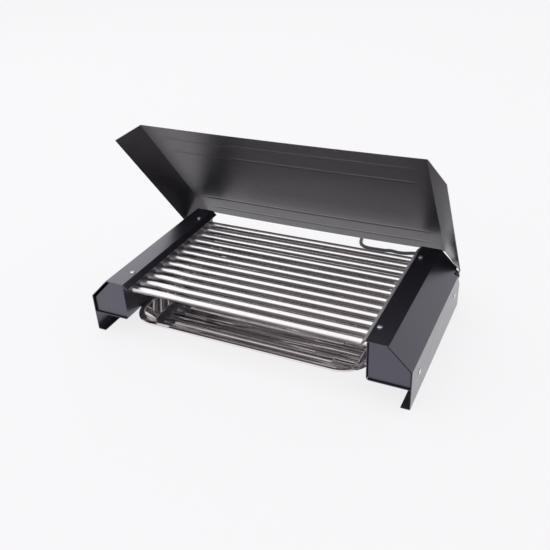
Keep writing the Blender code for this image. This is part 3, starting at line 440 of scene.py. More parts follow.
def tray_steel():
    """Thin polished sheet: slightly wavy, with drawn lines along it but not on its end walls."""
    finish = Finish("tray_steel")
    streaks = finish.noise(40.0, 4.0, (0.10, 9.0, 9.0))
    clouds = finish.noise(12.0, 3.0)
    colour = finish.mix(clouds, (0.62, 0.59, 0.605), (0.76, 0.73, 0.74))
    rough = finish.spread(streaks, 0.3, 0.7, 0.02, 0.05)
    waves = finish.bump(finish.noise(24.0, 2.0, (0.6, 1.0, 1.0)), 0.07, 0.004)
    crosswise = finish.math("ABSOLUTE", finish.split("Normal", "X"))
    lengthwise = finish.spread(crosswise, 0.15, 0.45, 1.0, 0.0)
    grain = finish.math("MULTIPLY", finish.noise(12.0, 1.0, (0.25, 12.0, 12.0)), lengthwise)
    lines = finish.bump(grain, 0.60, 0.0008, waves)
    finish.set(Base_Color=colour, Roughness=rough, Normal=lines, Metallic=1.0)
    return finish.material


def speckled(name, noise, dark, light, rough, metallic=0.0, grain=None):
    """A plain surface whose colour and roughness follow one noise; grain is a bumped one."""
    finish = Finish(name)
    specks = finish.noise(*noise)
    finish.set(Base_Color=finish.mix(specks, dark, light), Metallic=metallic)
    finish.set(Roughness=finish.spread(specks, 0.3, 0.7, *rough))
    if grain:
        scale, detail, strength = grain
        finish.set(Normal=finish.bump(finish.noise(scale, detail), strength, 0.0001))
    return finish.material


def braid():
    """Textile cover: two families of strands that wind opposite ways, one over the other."""
    finish = Finish("lead_sleeve")
    along = finish.axis(finish.coordinates.outputs["UV"], "X")
    around = finish.axis(finish.coordinates.outputs["UV"], "Y")
    strands = 9.0 * full_turn
    families = []
    for sign in (1.0, -1.0):
        turn = finish.math("MULTIPLY", around, strands)
        run = finish.math("MULTIPLY", along, sign * strands)
        families.append(finish.math("ABSOLUTE", finish.math("SINE", finish.math("ADD", turn, run))))
    weave = finish.math("MAXIMUM", families[0], families[1])
    lint = finish.noise(900.0, 3.0)
    colour = finish.mix(weave, (0.016, 0.015, 0.017), (0.060, 0.058, 0.064))
    colour = finish.mix(finish.spread(lint, 0.55, 0.75, 0.0, 0.5), colour, (0.13, 0.13, 0.14))
    skin = finish.bump(weave, 0.7, 0.0004, finish.bump(lint, 0.4, 0.0001))
    finish.set(Base_Color=colour, Roughness=finish.spread(lint, 0.3, 0.7, 0.72, 0.9), Normal=skin)
    finish.set(Sheen_Weight=0.25, Sheen_Roughness=0.5)
    return finish.material


housing_colours = ((0.009, 0.009, 0.012), (0.012, 0.011, 0.015), (0.58, 0.52, 1.0))
lid_colours = ((0.010, 0.009, 0.010), (0.013, 0.012, 0.013), (0.90, 0.80, 1.0))
zinc_colours = ((0.74, 0.75, 0.79), (0.88, 0.89, 0.93))
brass_colours = ((0.58, 0.52, 0.40), (0.66, 0.61, 0.50))
ceramic_colours = ((0.74, 0.71, 0.64), (0.82, 0.79, 0.73))
rubber_colours = ((0.018, 0.018, 0.019), (0.027, 0.027, 0.028))
sleeve_colours = {
    "brown_sleeve": ((0.13, 0.05, 0.025), (0.18, 0.07, 0.035)),
    "blue_sleeve": ((0.025, 0.065, 0.21), (0.04, 0.09, 0.28)),
    "earth_sleeve": ((0.16, 0.33, 0.05), (0.24, 0.42, 0.07)),
}
looks = {
    "housing_paint": paint("housing_paint", *housing_colours, 0.33, 1.0),
    "lid_paint": paint("lid_paint", *lid_colours, 0.34, 0.42),
    "rod_steel": rod_steel(),
    "tray_steel": tray_steel(),
    "fastener_zinc": speckled(
        "fastener_zinc", (500.0, 3.0), *zinc_colours, (0.20, 0.34), 1.0, (500.0, 3.0, 0.1)
    ),
    "link_brass": speckled("link_brass", (180.0, 3.0), *brass_colours, (0.22, 0.38), 1.0),
    "block_ceramic": speckled("block_ceramic", (700.0, 2.0), *ceramic_colours, (0.5, 0.7)),
    "lead_sleeve": braid(),
    "black_rubber": speckled(
        "black_rubber", (60.0, 4.0), *rubber_colours, (0.52, 0.64), 0.0, (2600.0, 1.0, 0.35)
    ),
}
for sleeve, colours in sleeve_colours.items():
    looks[sleeve] = speckled(sleeve, (300.0, 3.0), *colours, (0.48, 0.62))

node_slots = {row["node"]: row["material_slot"] for row in frame["record"]["subparts"]}


def dress_nodes():
    """Every node of the frame gets its slot's finish; most are then replaced by finer pieces."""
    for name, obj in frame["nodes"].items():
        obj.data.materials.clear()
        obj.data.materials.append(looks[node_slots[name]])


dress_nodes()


def modify(obj, name, kind, **settings):
    modifier = obj.modifiers.new(name, kind)
    for setting, value in settings.items():
        setattr(modifier, setting, value)


def add_piece(name, mesh, slot, *replaced, body="grill_body"):
    """Links a finished mesh, in the frame's coordinates, to its body and slot."""
    obj = place_object(name, mesh, pieces)
    if not mesh.materials:
        mesh.materials.append(looks[slot])
    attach(obj, body)
    if replaced:
        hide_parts(*replaced)
    return obj


def add_panel(name, mesh, node, slot="housing_paint", body="grill_body"):
    """A painted sheet, whose large flat faces stay flat beside smooth bends."""
    obj = add_piece(name, mesh, slot, node, body=body)
    modify(obj, "normals", "WEIGHTED_NORMAL", keep_sharp=True)


def add_panel_pair(mesh, ending, node):
    """The right panel, and its mirror image on the left."""
    add_panel(f"right_{ending}", mesh, f"right_{node}")
    other = mirrored(mesh, f"left_{ending}")
    add_panel(f"left_{ending}", other, f"left_{node}")


def new_mesh(name, build):
    mesh = bpy.data.meshes.new(name)
    bm = bmesh.new()
    build(bm)
    bmesh.ops.remove_doubles(bm, verts=bm.verts, dist=0.000001)
    bm.normal_update()
    bm.to_mesh(mesh)
    bm.free()
    return mesh


def scratch(name, mesh):
    """A working object that is never rendered and rides on nothing."""
    obj = place_object(name, mesh, helpers)
    obj.hide_render = True
    return obj


def drawn(name, build):
    return scratch(name, new_mesh(name, build))


def join_lines(bm, lines, closed=True):
    """Four-sided faces between lines of vertices that follow each other."""
    for first, second in zip(lines, lines[1:]):
        count = len(first)
        for i in range(count if closed else count - 1):
            j = (i + 1) % count
            bm.faces.new((first[i], first[j], second[j], second[i]))


def boolean(obj, cutter, operation="DIFFERENCE"):
    modify(obj, cutter.name, "BOOLEAN", operation=operation, solver="EXACT", object=cutter)


def solidify(obj, thickness, offset=-1.0):
    even = {"use_even_offset": True, "use_quality_normals": True}
    modify(obj, "sheet", "SOLIDIFY", thickness=thickness, offset=offset, **even)


def round_edges(obj):
    limit = {"limit_method": "ANGLE", "angle_limit": round_angle, "use_clamp_overlap": True}
    modify(obj, "edges", "BEVEL", width=edge_round, segments=2, **limit)


def settled(obj, angle=radians(30)):
    """The object's mesh with its modifiers applied and shaded by angle; the helpers go."""
    bpy.context.view_layer.update()
    depsgraph = bpy.context.evaluated_depsgraph_get()
    mesh = bpy.data.meshes.new_from_object(obj.evaluated_get(depsgraph))
    mesh.shade_smooth()
    mesh.set_sharp_from_angle(angle=angle)
    for modifier in list(obj.modifiers):
        if modifier.type == "BOOLEAN" and modifier.object is not None:
            bpy.data.objects.remove(modifier.object)
    bpy.data.objects.remove(obj)
    return mesh


def mirrored(mesh, name):
    made = mesh.copy()
    made.name = name
    made.transform(Matrix.Scale(-1, 4, Vector((1, 0, 0))))
    made.flip_normals()
    return made


def middle_of(node):
    low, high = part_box(node)
    return (low + high) / 2


def eased(value):
    """0 to 1 with a soft start and end, and level past both."""
    value = min(max(value, 0.0), 1.0)
    return value * value * (3 - 2 * value)


def arc_points(centre, radius, start, end, steps):
    angles = [start + (end - start) * i / steps for i in range(steps + 1)]
    return [(centre[0] + radius * cos(a), centre[1] + radius * sin(a)) for a in angles]


def bend_arc(before, corner, after, radius, steps):
    """The fillet of one corner of a line, as points."""
    corner = Vector(corner)
    back = (Vector(before) - corner).normalized()
    ahead = (Vector(after) - corner).normalized()
    half = back.angle(ahead) / 2
    start = corner + back * radius / tan(half)
    centre = corner + (back + ahead).normalized() * radius / sin(half)
    first = start - centre
    from_angle = atan2(first.y, first.x)
    turn = pi - 2 * half
    if back.x * ahead.y - back.y * ahead.x > 0:
        turn = -turn
    return arc_points(centre, radius, from_angle, from_angle + turn, steps)


def rounded_outline(corners, radii, steps=bend_steps):
    """The corners in a closed round, each with its own radius; 0 leaves one as it is."""
    outline = []
    count = len(corners)
    for i, corner in enumerate(corners):
        if radii[i] == 0:
            outline.append(tuple(corner))
        else:
            after = corners[(i + 1) % count]
            outline += bend_arc(corners[i - 1], corner, after, radii[i], steps)
    return outline


def folded_line(corners, radii):
    """An open line; the radii are those of the corners between its ends."""
    return rounded_outline(corners, [0, *radii, 0])


def folded_sheet(name, line, y_start, y_end, thickness):
    def build(bm):
        sides = [[bm.verts.new((x, y, z)) for x, z in line] for y in (y_start, y_end)]
        join_lines(bm, sides, closed=False)

    obj = drawn(name, build)
    solidify(obj, thickness)
    return obj


def prism(name, outline, way):
    """A closed block: a flat outline of points, drawn out by the vector way."""

    def build(bm):
        face = bm.faces.new([bm.verts.new(point) for point in outline])
        grown = bmesh.ops.extrude_face_region(bm, geom=[face])["geom"]
        moved = [v for v in grown if isinstance(v, bmesh.types.BMVert)]
        bmesh.ops.translate(bm, verts=moved, vec=way)
        bmesh.ops.recalc_face_normals(bm, faces=bm.faces)

    return drawn(name, build)


# What turns the Z axis into each of these
axis_turns = {
    "x": Matrix.Rotation(quarter_turn, 4, "Y"),
    "y": Matrix.Rotation(-quarter_turn, 4, "X"),
    "z": Matrix.Identity(4),
}


def drill(name, holes, radius, length, sides=32):
    """Round cutters in one helper; holes are (middle, axis) pairs."""

    def build(bm):
        for middle, axis in holes:
            place = Matrix.Translation(middle) @ axis_turns[axis]
            size = {"radius1": radius, "radius2": radius, "depth": length}
            bmesh.ops.create_cone(bm, cap_ends=True, segments=sides, matrix=place, **size)

    return drawn(name, build)


def lathe(name, profile, sides, turn):
    """A turned mesh: (radius, place) pairs round the Z axis, then turned and moved by a matrix."""

    def build(bm):
        rings = []
        for radius, along in profile:
            if radius == 0:
                rings.append([bm.verts.new((0, 0, along))])
            else:
                angles = [full_turn * i / sides for i in range(sides)]
                round_line = [(radius * cos(a), radius * sin(a), along) for a in angles]
                rings.append([bm.verts.new(point) for point in round_line])
        for upper, lower in zip(rings, rings[1:]):
            for i in range(sides):
                j = (i + 1) % sides
                if len(upper) == 1 and len(lower) > 1:
                    bm.faces.new((upper[0], lower[i], lower[j]))
                elif len(lower) == 1 and len(upper) > 1:
                    bm.faces.new((upper[i], lower[0], upper[j]))
                elif len(upper) > 1:
                    bm.faces.new((upper[i], lower[i], lower[j], upper[j]))
        bmesh.ops.recalc_face_normals(bm, faces=bm.faces)

    mesh = new_mesh(name, build)
    mesh.transform(turn)
    mesh.shade_smooth()
    mesh.set_sharp_from_angle(angle=turned_angle)
    return mesh


def shared_screw_places():
    """Where each right-hand screw's head sits on the cover, and its axis, from the frame."""
    places = {}
    for label in ("top_front", "top_rear", "side_front", "side_rear"):
        place = middle_of(f"right_screw_{label}")
        if label.startswith("top"):
            place.z = top_z
            places[label] = (place, "z")
        else:
            place.x = cover_x
            places[label] = (place, "x")
    return places


screw_places = shared_screw_places()


def screw_holes(name):
    return drill(name, screw_places.values(), screw_shank_radius + touch_gap, 2 * screw_length)


def make_covers():
    """The folded side covers, with a notch at the back for the lid's ear."""
    corners = [
        (lip_x - lip_reach, top_z - lip_reach),
        (lip_x, top_z),
        (cover_x - cover_shoulder, top_z),
        (cover_x, top_z - cover_shoulder),
        (cover_x, 0),
        (cover_x - foot_width, 0),
    ]
    line = folded_line(corners, [cover_bend] * 4)
    cover = folded_sheet("cover", line, front_y, back_y, cover_sheet)
    slope = (notch_top - notch_foot) / (back_y - notch_front)
    start = cover_x - cover_shoulder / 2
    notch = [
        (start, notch_front, notch_top),
        (start, back_y + overrun, notch_foot - slope * overrun),
        (start, back_y + overrun, notch_top),
    ]
    boolean(cover, prism("notch", notch, (cover_shoulder, 0, 0)))
    boolean(cover, screw_holes("cover_holes"))
    round_edges(cover)
    add_panel_pair(settled(cover), "cover_shell", "cover")


def rod_centres():
    """Each rod's axis as (y, z), from the frame."""
    middles = [middle_of(f"heating_rod_{number:02d}") for number in range(1, rod_count + 1)]
    return [(middle.y, middle.z) for middle in middles]


def make_channels():
    """The inner sheets that carry the rods, their flanges cut back at both ends."""
    side_x = cover_x - cover_sheet - touch_gap
    high = top_z - cover_sheet - touch_gap
    low = channel_low.z
    corners = [
        (side_x, low + channel_side_flange),
        (side_x, low),
        (wall_x, low),
        (wall_x, high),
        (wall_x + channel_top_flange, high),
    ]
    line = folded_line(corners, [channel_side_bend, channel_bend, cover_bend])
    channel = folded_sheet("channel", line, channel_low.y, channel_high.y, channel_sheet)
    inside_x = wall_x + channel_sheet + touch_gap
    inside_z = low + channel_sheet + touch_gap
    for label, edge, step in (("front", front_y, 1), ("rear", back_y, -1)):
        reach = edge + step * flange_end_setback
        outside = edge - step * overrun
        outline = [
            (inside_x, outside, inside_z),
            (cover_x, outside, inside_z),
            (cover_x, reach, inside_z),
            (inside_x, reach, inside_z),
        ]
        boolean(channel, prism(f"relief_{label}", outline, (0, 0, top_z)))
    holes = [((wall_x + channel_sheet / 2, y, z), "x") for y, z in rod_centres()]
    boolean(channel, drill("rod_holes", holes, rod_radius + touch_gap, channel_sheet + overrun))
    boolean(channel, screw_holes("channel_holes"))
    round_edges(channel)
    add_panel_pair(settled(channel), "channel_shell", "inner_channel")


def cap_outline(side_x, inset, slit):
    """The housing's inner section, drawn in by inset on all sides and by slit under the cover."""
    skin = cover_sheet + touch_gap
    inner_x = wall_x + channel_sheet + touch_gap + inset
    low = channel_low.z + channel_sheet + touch_gap + inset
    high = top_z - skin - inset
    behind = skin + inset + slant_slit_share * slit
    slant = cover_x + top_z - cover_shoulder - behind * sqrt(2)
    side = side_x - inset - slit
    corners = [(inner_x, low), (side, low), (side, slant - side)]
    corners += [(slant - high, high), (inner_x, high)]
    corner_radius = channel_bend - channel_sheet - touch_gap
    radii = [corner_radius - inset, channel_side_bend - inset, cap_edge, cap_edge, cap_edge]
    return rounded_outline(corners, [max(r, cap_edge / 3) for r in radii])


def make_cap(label, side_x, face_y, flange_end, slit=0.0):
    """A pressed cap: flat face, round edge, flange all round."""
    way = 1 if flange_end > face_y else -1

    def build(bm):
        rings = []
        for i in range(bend_steps + 1):
            angle = quarter_turn * i / bend_steps
            inset = cap_edge * (1 - sin(angle))
            y = face_y + way * cap_edge * (1 - cos(angle))
            rings.append([bm.verts.new((x, y, z)) for x, z in cap_outline(side_x, inset, slit)])
        rings.append([bm.verts.new((x, flange_end, z)) for x, z in cap_outline(side_x, 0, slit)])
        bm.faces.new(rings[0])
        join_lines(bm, rings)
        bmesh.ops.recalc_face_normals(bm, faces=bm.faces)
        face = max(bm.faces, key=lambda f: len(f.verts))
        face.normal_update()
        if face.normal.y * way > 0:
            bmesh.ops.reverse_faces(bm, faces=bm.faces)

    cap = drawn(label, build)
    solidify(cap, cap_sheet * cap_flange_share)
    return cap


def make_caps():
    """Front caps, a mirrored pair, and rear caps, of which only the right one lets the lead out."""
    front = make_cap("front_cap", cap_high.x, cap_low.y, cap_high.y, front_cap_slit)
    add_panel_pair(settled(front), "front_cap_plate", "front_cap")
    side_x = rear_cap_high.x
    rivet_hole = [((side_x - cap_sheet / 2, hinge.y, hinge.z), "x")]
    entry = [((cord_route[0][0], rear_cap_high.y, cord_route[0][2]), "y")]
    for hand in ("left", "right"):
        cap = make_cap("rear_cap", side_x, rear_cap_high.y, rear_cap_low.y)
        boolean(cap, drill("rivet_hole", rivet_hole, rivet_radius + touch_gap, cap_sheet + overrun))
        if hand == "right":
            boolean(cap, drill("entry_hole", entry, lead_entry_radius, 2 * overrun))
        mesh = settled(cap)
        if hand == "left":
            mesh = mirrored(mesh, "left_rear_cap_plate")
        add_panel(f"{hand}_rear_cap_plate", mesh, f"{hand}_rear_cap")


def make_rods():
    """Twelve tubes with a ceramic bush and a terminal pin at each end, as the frame's."""
    pin_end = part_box("heating_rod_01")[1].x
    bush_end = pin_end - pin_length
    tube_end = bush_end - insulator_length
    half = [(0, pin_end), (pin_radius - pin_chamfer, pin_end)]
    half += [(pin_radius, pin_end - pin_chamfer), (pin_radius, bush_end)]
    half += [(insulator_radius, bush_end), (insulator_radius, tube_end)]
    corner = (rod_radius - rod_edge, tube_end - rod_edge)
    half += arc_points(corner, rod_edge, quarter_turn, 0, 4)
    profile = half + [(radius, -along) for radius, along in reversed(half)]
    mesh = lathe("rod", profile, rod_sides, axis_turns["x"])
    for slot in ("rod_steel", "block_ceramic", "fastener_zinc"):
        mesh.materials.append(looks[slot])
    for polygon in mesh.polygons:
        middle = abs(polygon.center.x)
        if middle > tube_end + face_tolerance:
            polygon.material_index = 1 if middle < bush_end + face_tolerance else 2
    for number, (y, z) in enumerate(rod_centres(), 1):
        made = mesh.copy()
        made.transform(Matrix.Translation((0, y, z)))
        name = f"heating_rod_{number:02d}"
        add_piece(f"rod_tube_{number:02d}", made, "rod_steel", name)


def screw_mesh():
    """A pan head with a cross recess, head up, on a sheet whose face is at z = 0."""
    rim = screw_rim_share * screw_head_height
    profile = []
    for i in range(screw_dome_steps):
        angle = i / screw_dome_steps * quarter_turn
        height = rim + (screw_head_height - rim) * cos(angle) ** screw_dome_power
        profile.append((screw_head_radius * sin(angle), height))
    profile += [(screw_head_radius, rim), (screw_head_radius, touch_gap)]
    profile += [(screw_shank_radius, touch_gap), (screw_shank_radius, -screw_length)]
    profile.append((0, -screw_length))
    head = scratch("screw", lathe("screw", profile, screw_sides, axis_turns["z"]))
    arm = cross_reach_share * screw_head_radius
    web = cross_half_width_share * screw_head_radius
    low = screw_head_height - cross_depth_share * screw_head_height
    for label, x, y in (("a", arm, web), ("b", web, arm)):
        outline = [(-x, -y, low), (x, -y, low), (x, y, low), (-x, y, low)]
        boolean(head, prism(f"cross_{label}", outline, (0, 0, screw_head_height)))
    return settled(head, turned_angle)


def make_screws():
    mesh = screw_mesh()
    for side, hand in ((1, "right"), (-1, "left")):
        for tilt, (label, (place, axis)) in zip(screw_tilts, screw_places.items()):
            made = mesh.copy()
            made.transform(Matrix.Rotation(tilt * side, 4, "Z"))
            if axis == "x":
                made.transform(Matrix.Rotation(side * quarter_turn, 4, "Y"))
            made.transform(Matrix.Translation((side * place.x, place.y, place.z)))
            name = f"{hand}_screw_{label}"
            add_piece(f"{name}_head", made, "fastener_zinc", name)


def tray_edges(inset):
    """How far the tray reaches to each side, to the front and to the back."""
    return tray_high.x - inset, tray_low.y + inset, tray_high.y - inset


def tray_ring(inset):
    half, front, back = tray_edges(inset)
    corners = [(-half, front), (half, front), (half, back), (-half, back)]
    return rounded_outline(corners, [tray_corner - inset] * 4, tray_corner_steps)


def tray_sections():
    """The tray's outer to inner section as (inset, height from the rim's top)."""
    wall_end = tray_rim + tray_wall_run
    middle = (tray_rim_roll, -tray_rim_roll)
    rim = arc_points(middle, tray_rim_roll, half_turn, quarter_turn, rim_roll_steps)
    floor_start = wall_end + 2 * tray_fillet
    corners = [(tray_rim_roll, 0), (tray_rim, 0)]
    corners += [(wall_end, -tray_floor_drop), (floor_start, -tray_floor_drop)]
    inside = folded_line(corners, [tray_fillet, tray_fillet])
    return rim + inside[1:]


def rib_rise(x, y):
    """Height of the pressed ribs over the tray's floor: long ribs with round ends."""
    rise = 0.0
    for index in range(rib_count):
        middle = tray_low.y + rib_front + index * rib_pitch
        over = max(abs(x) - (rib_half_length - rib_half_width), 0.0)
        away = hypot(over, y - middle)
        rise = max(rise, rib_height * eased((rib_half_width - away) / rib_slope))
    return rise


def tray_floor(edge, inset):
    """Points and faces of the floor inside its edge, close together where the ribs need it."""
    step = tray_floor_step
    half, front, back = tray_edges(inset)
    corner = tray_corner - inset
    xs = np.arange(-half + step, half, 4 * step)
    ends = np.arange(rib_half_length - 2 * rib_half_width, rib_half_length + step, step / 2)
    xs = np.unique(np.round(np.concatenate([xs, ends, -ends]), 6))
    ys = np.arange(front + step / 2, back, step / 2)
    inner = []
    for x in xs:
        for y in ys:
            over_x = abs(x) - (half - corner)
            over_y = max(front + corner - y, y - (back - corner))
            in_corner = over_x > 0 and over_y > 0
            if in_corner and hypot(over_x, over_y) > corner - step / 2:
                continue
            if abs(x) > half - step / 2:
                continue
            inner.append(Vector((x, y)))
    border = [Vector(p) for p in edge]
    loop = list(range(len(border)))
    rim_edges = [(i, (i + 1) % len(border)) for i in loop]
    found = delaunay_2d_cdt(border + inner, rim_edges, [loop], 1, 1e-7)
    return found[0], found[2]


def make_tray():
    """One sheet: rolled rim, round walls and a floor with pressed ribs."""
    sections = tray_sections()
    outer = [tray_ring(inset) for inset, _ in sections]
    floor_points, floor_faces = tray_floor(outer[-1], sections[-1][0])
    rim_z = tray_high.z

    def build(bm):
        rings = []
        for points, (_, height) in zip(outer, sections):
            rings.append([bm.verts.new((x, y, rim_z + height)) for x, y in points])
        join_lines(bm, rings)
        level = rim_z - tray_floor_drop
        verts = [bm.verts.new((p.x, p.y, level + rib_rise(p.x, p.y))) for p in floor_points]
        for face in floor_faces:
            corners = [verts[i] for i in face]
            made = bm.faces.new(corners)
            made.normal_update()
            if made.normal.z < 0:
                made.normal_flip()

    tray = drawn("tray", build)
    solidify(tray, tray_sheet)
    mesh = settled(tray, radians(60))
    add_piece("drip_tray_shell", mesh, "tray_steel", "drip_tray", body="tray")


def make_rails():
    corners = [(rail_high.x, rail_high.z), (rail_high.x, rail_low.z), (rail_low.x, rail_low.z)]
    line = folded_line(corners, [rail_bend])
    rail = folded_sheet("rail", line, rail_low.y, rail_high.y, rail_sheet)
    round_edges(rail)
    add_panel_pair(settled(rail), "rail_strip", "tray_rail")


def lid_bead(y, x):
    """Height of the pressed beads at a place on the closed lid, y from its front edge."""
    away = min(abs(y - middle) for middle in bead_middles)
    across = eased((bead_width / 2 - away) / (bead_width / 2))
    along = eased((lid_panel_half - bead_end_margin - abs(x)) / bead_end_slope)
    return bead_height * across * along


def lid_columns(level):
    """The closed lid's section as (x, z): a flat that sags a little, and both wings."""
    wing = [(lid_panel_half + wing_fall, level - wing_fall)]
    fold = folded_line([(0, level), (lid_panel_half, level), *wing], [lid_bend])
    beads_end = lid_panel_half - bead_end_margin
    flats = np.linspace(0, 1, lid_flat_steps + 1) * (beads_end - bead_end_slope)
    steps = range(1, bead_end_steps + 1)
    ends = [beads_end - bead_end_slope * (1 - i / bead_end_steps) for i in steps]
    sag = [level - lid_sag * (1 - (x / lid_panel_half) ** 2) for x in [*flats, *ends]]
    side = list(zip([*flats, *ends], sag))[1:] + fold[1:]
    return [(-x, z) for x, z in reversed(side)] + [(0, level - lid_sag)] + side


def cut_wing(lid, sign, hand, level, rear):
    """Slants the wing's rear edge."""
    tip = lid_panel_half + wing_fall + overrun
    low = level - 2 * wing_fall
    slanted = rear - wing_rear_cut * (tip - lid_panel_half) / wing_fall
    past = rear + overrun
    spots = [(lid_panel_half, rear), (tip, slanted), (tip, past), (lid_panel_half, past)]
    trim = [(sign * x, y, low) for x, y in spots]
    boolean(lid, prism(f"{hand}_wing_cut", trim, (0, 0, 3 * wing_fall)))


def add_ear(lid, sign, hand, level):
    """The ear that is folded down from the wing and turns on the rivet."""
    outer = cover_x - cover_sheet - touch_gap
    top = level - wing_fall + lid_sheet * sqrt(0.5)
    lobe = arc_points((0, 0), ear_radius, half_turn, full_turn, ear_steps)
    outline = [(-ear_front_reach, top), *lobe, (ear_rear_reach, top)]
    points = [(sign * (outer - lid_sheet), y, z) for y, z in outline]
    boolean(lid, prism(f"{hand}_ear", points, (sign * lid_sheet, 0, 0)), "UNION")
    middle = (sign * (outer - lid_sheet / 2), 0, 0)
    hole = drill(f"{hand}_ear_hole", [(middle, "x")], rivet_radius + touch_gap, 3 * lid_sheet)
    boolean(lid, hole)


def cut_slit(lid, sign, hand, level, rear):
    """The narrow relief slit beside the ear, from the wing's lower edge inward."""
    x = sign * (lid_panel_half + wing_fall)
    edge = Vector((x, rear - wing_rear_cut - slit_margin, level - wing_fall))
    inward = Vector((-sign, 0, 1)).normalized()
    across = Vector((sign, 0, 1)).normalized() * 2 * lid_sheet
    width = Vector((0, slit_width, 0))
    out = edge - inward * overrun - across
    deep = edge + inward * slit_length - across
    boolean(lid, prism(f"{hand}_slit", [out, deep, deep - width, out - width], 2 * across))


def make_lid():
    """Drawn closed about the hinge axis, then turned to where it stands."""
    level = top_z + lid_rise - hinge.z
    columns = lid_columns(level)
    rows = [0.0]
    for middle in bead_middles:
        steps = range(-bead_steps, bead_steps + 1)
        rows += [middle + bead_width / 2 * i / bead_steps for i in steps]
    rows.append(lid_length)
    start = front_y + lid_front - hinge.y
    rear = start + lid_length

    def build(bm):
        grid = []
        for y in rows:
            line = [(x, start + y, z + lid_bead(y, x)) for x, z in columns]
            grid.append([bm.verts.new(point) for point in line])
        join_lines(bm, grid, closed=False)

    lid = drawn("lid_sheet", build)
    solidify(lid, lid_sheet, 1.0)
    for sign, hand in ((1, "right"), (-1, "left")):
        cut_wing(lid, sign, hand, level, rear)
        add_ear(lid, sign, hand, level)
        cut_slit(lid, sign, hand, level, rear)
    round_edges(lid)
    mesh = settled(lid)
    mesh.transform(Matrix.Translation(hinge) @ Matrix.Rotation(-lid_open_angle, 4, "X"))
    add_panel("lid_shell", mesh, "lid", "lid_paint", "lid")


def make_rivets():
    """A domed head outside the lid's ear and a flat foot inside the rear cap."""
    low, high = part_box("right_hinge_rivet")
    outer = cover_x - cover_sheet
    height = high.x - outer
    dome = arc_points((0, 0), 1.0, quarter_turn, 0, 8)[1:]
    rises = [rivet_rim_share + (1 - rivet_rim_share) * s for _, s in dome]
    profile = [(0, high.x)]
    profile += [(rivet_head_radius * c, outer + height * rise) for (c, _), rise in zip(dome, rises)]
    foot = low.x + rivet_foot_height
    profile += [(rivet_head_radius, outer), (rivet_radius, outer), (rivet_radius, foot)]
    profile += [(rivet_foot_radius, foot), (rivet_foot_radius, low.x + rivet_foot_edge)]
    profile += [(rivet_foot_radius - rivet_foot_edge, low.x), (0, low.x)]
    turn = Matrix.Translation((0, hinge.y, hinge.z)) @ axis_turns["x"]
    mesh = lathe("rivet", profile, rivet_sides, turn)
    add_piece("right_rivet_pin", mesh, "lid_paint", "right_hinge_rivet")
    other = mirrored(mesh, "left_rivet")
    add_piece("left_rivet_pin", other, "lid_paint", "left_hinge_rivet")


def smooth_curve(points, spacing):
    """Points about spacing apart on a smooth curve through the given ones."""
    route = [Vector(p) for p in points]
    ends = [2 * route[0] - route[1], *route, 2 * route[-1] - route[-2]]
    dense = []
    for p0, p1, p2, p3 in zip(ends, ends[1:], ends[2:], ends[3:]):
        for i in range(curve_steps):
            t = i / curve_steps
            square = (2 * p0 - 5 * p1 + 4 * p2 - p3) * t**2
            cube = (3 * p1 - p0 - 3 * p2 + p3) * t**3
            dense.append(0.5 * (2 * p1 + (p2 - p0) * t + square + cube))
    dense.append(route[-1])
    lengths = np.cumsum([0.0] + [(b - a).length for a, b in zip(dense, dense[1:])])
    count = max(2, round(float(lengths[-1]) / spacing) + 1)
    wanted = np.linspace(0, float(lengths[-1]), count)
    table = np.array([tuple(p) for p in dense])
    return [Vector([float(np.interp(w, lengths, table[:, k])) for k in range(3)]) for w in wanted]


def coil_path():
    """The spare lead's turns: in along the lower layer, up in a half turn, out along the upper."""
    climb = 0.5  # turns
    total = 2 * coil_layer_turns + climb
    steps = round(total * coil_points_per_turn)
    path = []
    for i in range(steps + 1):
        turn = total * i / steps
        share = min(max((turn - coil_layer_turns) / climb, 0), 1)
        wound = min(turn, coil_layer_turns, total - turn) + climb * share * (1 - share)
        radius = coil_outer_radius - coil_pitch * wound
        height = cord_height + coil_layer * (1 - cos(pi * share)) / 2
        angle = coil_start + full_turn * turn
        x = coil_centre[0] + radius * cos(angle)
        y = coil_centre[1] + radius * sin(angle)
        path.append(Vector((x, y, height)))
    return path


def lead_path():
    """The whole lead's centreline, from the strain relief to the plug's neck."""
    turns = coil_path()
    plug_start = middle_of("power_plug")
    plug_start.x = plug_high.x
    last = turns[-1]
    straight = plug_start + Vector((cord_diameter, 0, 0))
    middle = last + (straight - last) * tail_middle_share + Vector((0, 0, -cord_radius / 2))
    tail = smooth_curve([turns[-3], last, middle, straight, plug_start], cord_spacing)
    tail = [p for p in tail if p.x < last.x - cord_radius]
    free = smooth_curve(cord_route, cord_spacing)
    entry = Vector((-sin(coil_start), cos(coil_start), 0))
    lead_in = turns[0] - entry * cord_radius
    free = [p for p in free if (p - turns[0]).length > cord_diameter]
    return free + [lead_in] + turns + tail


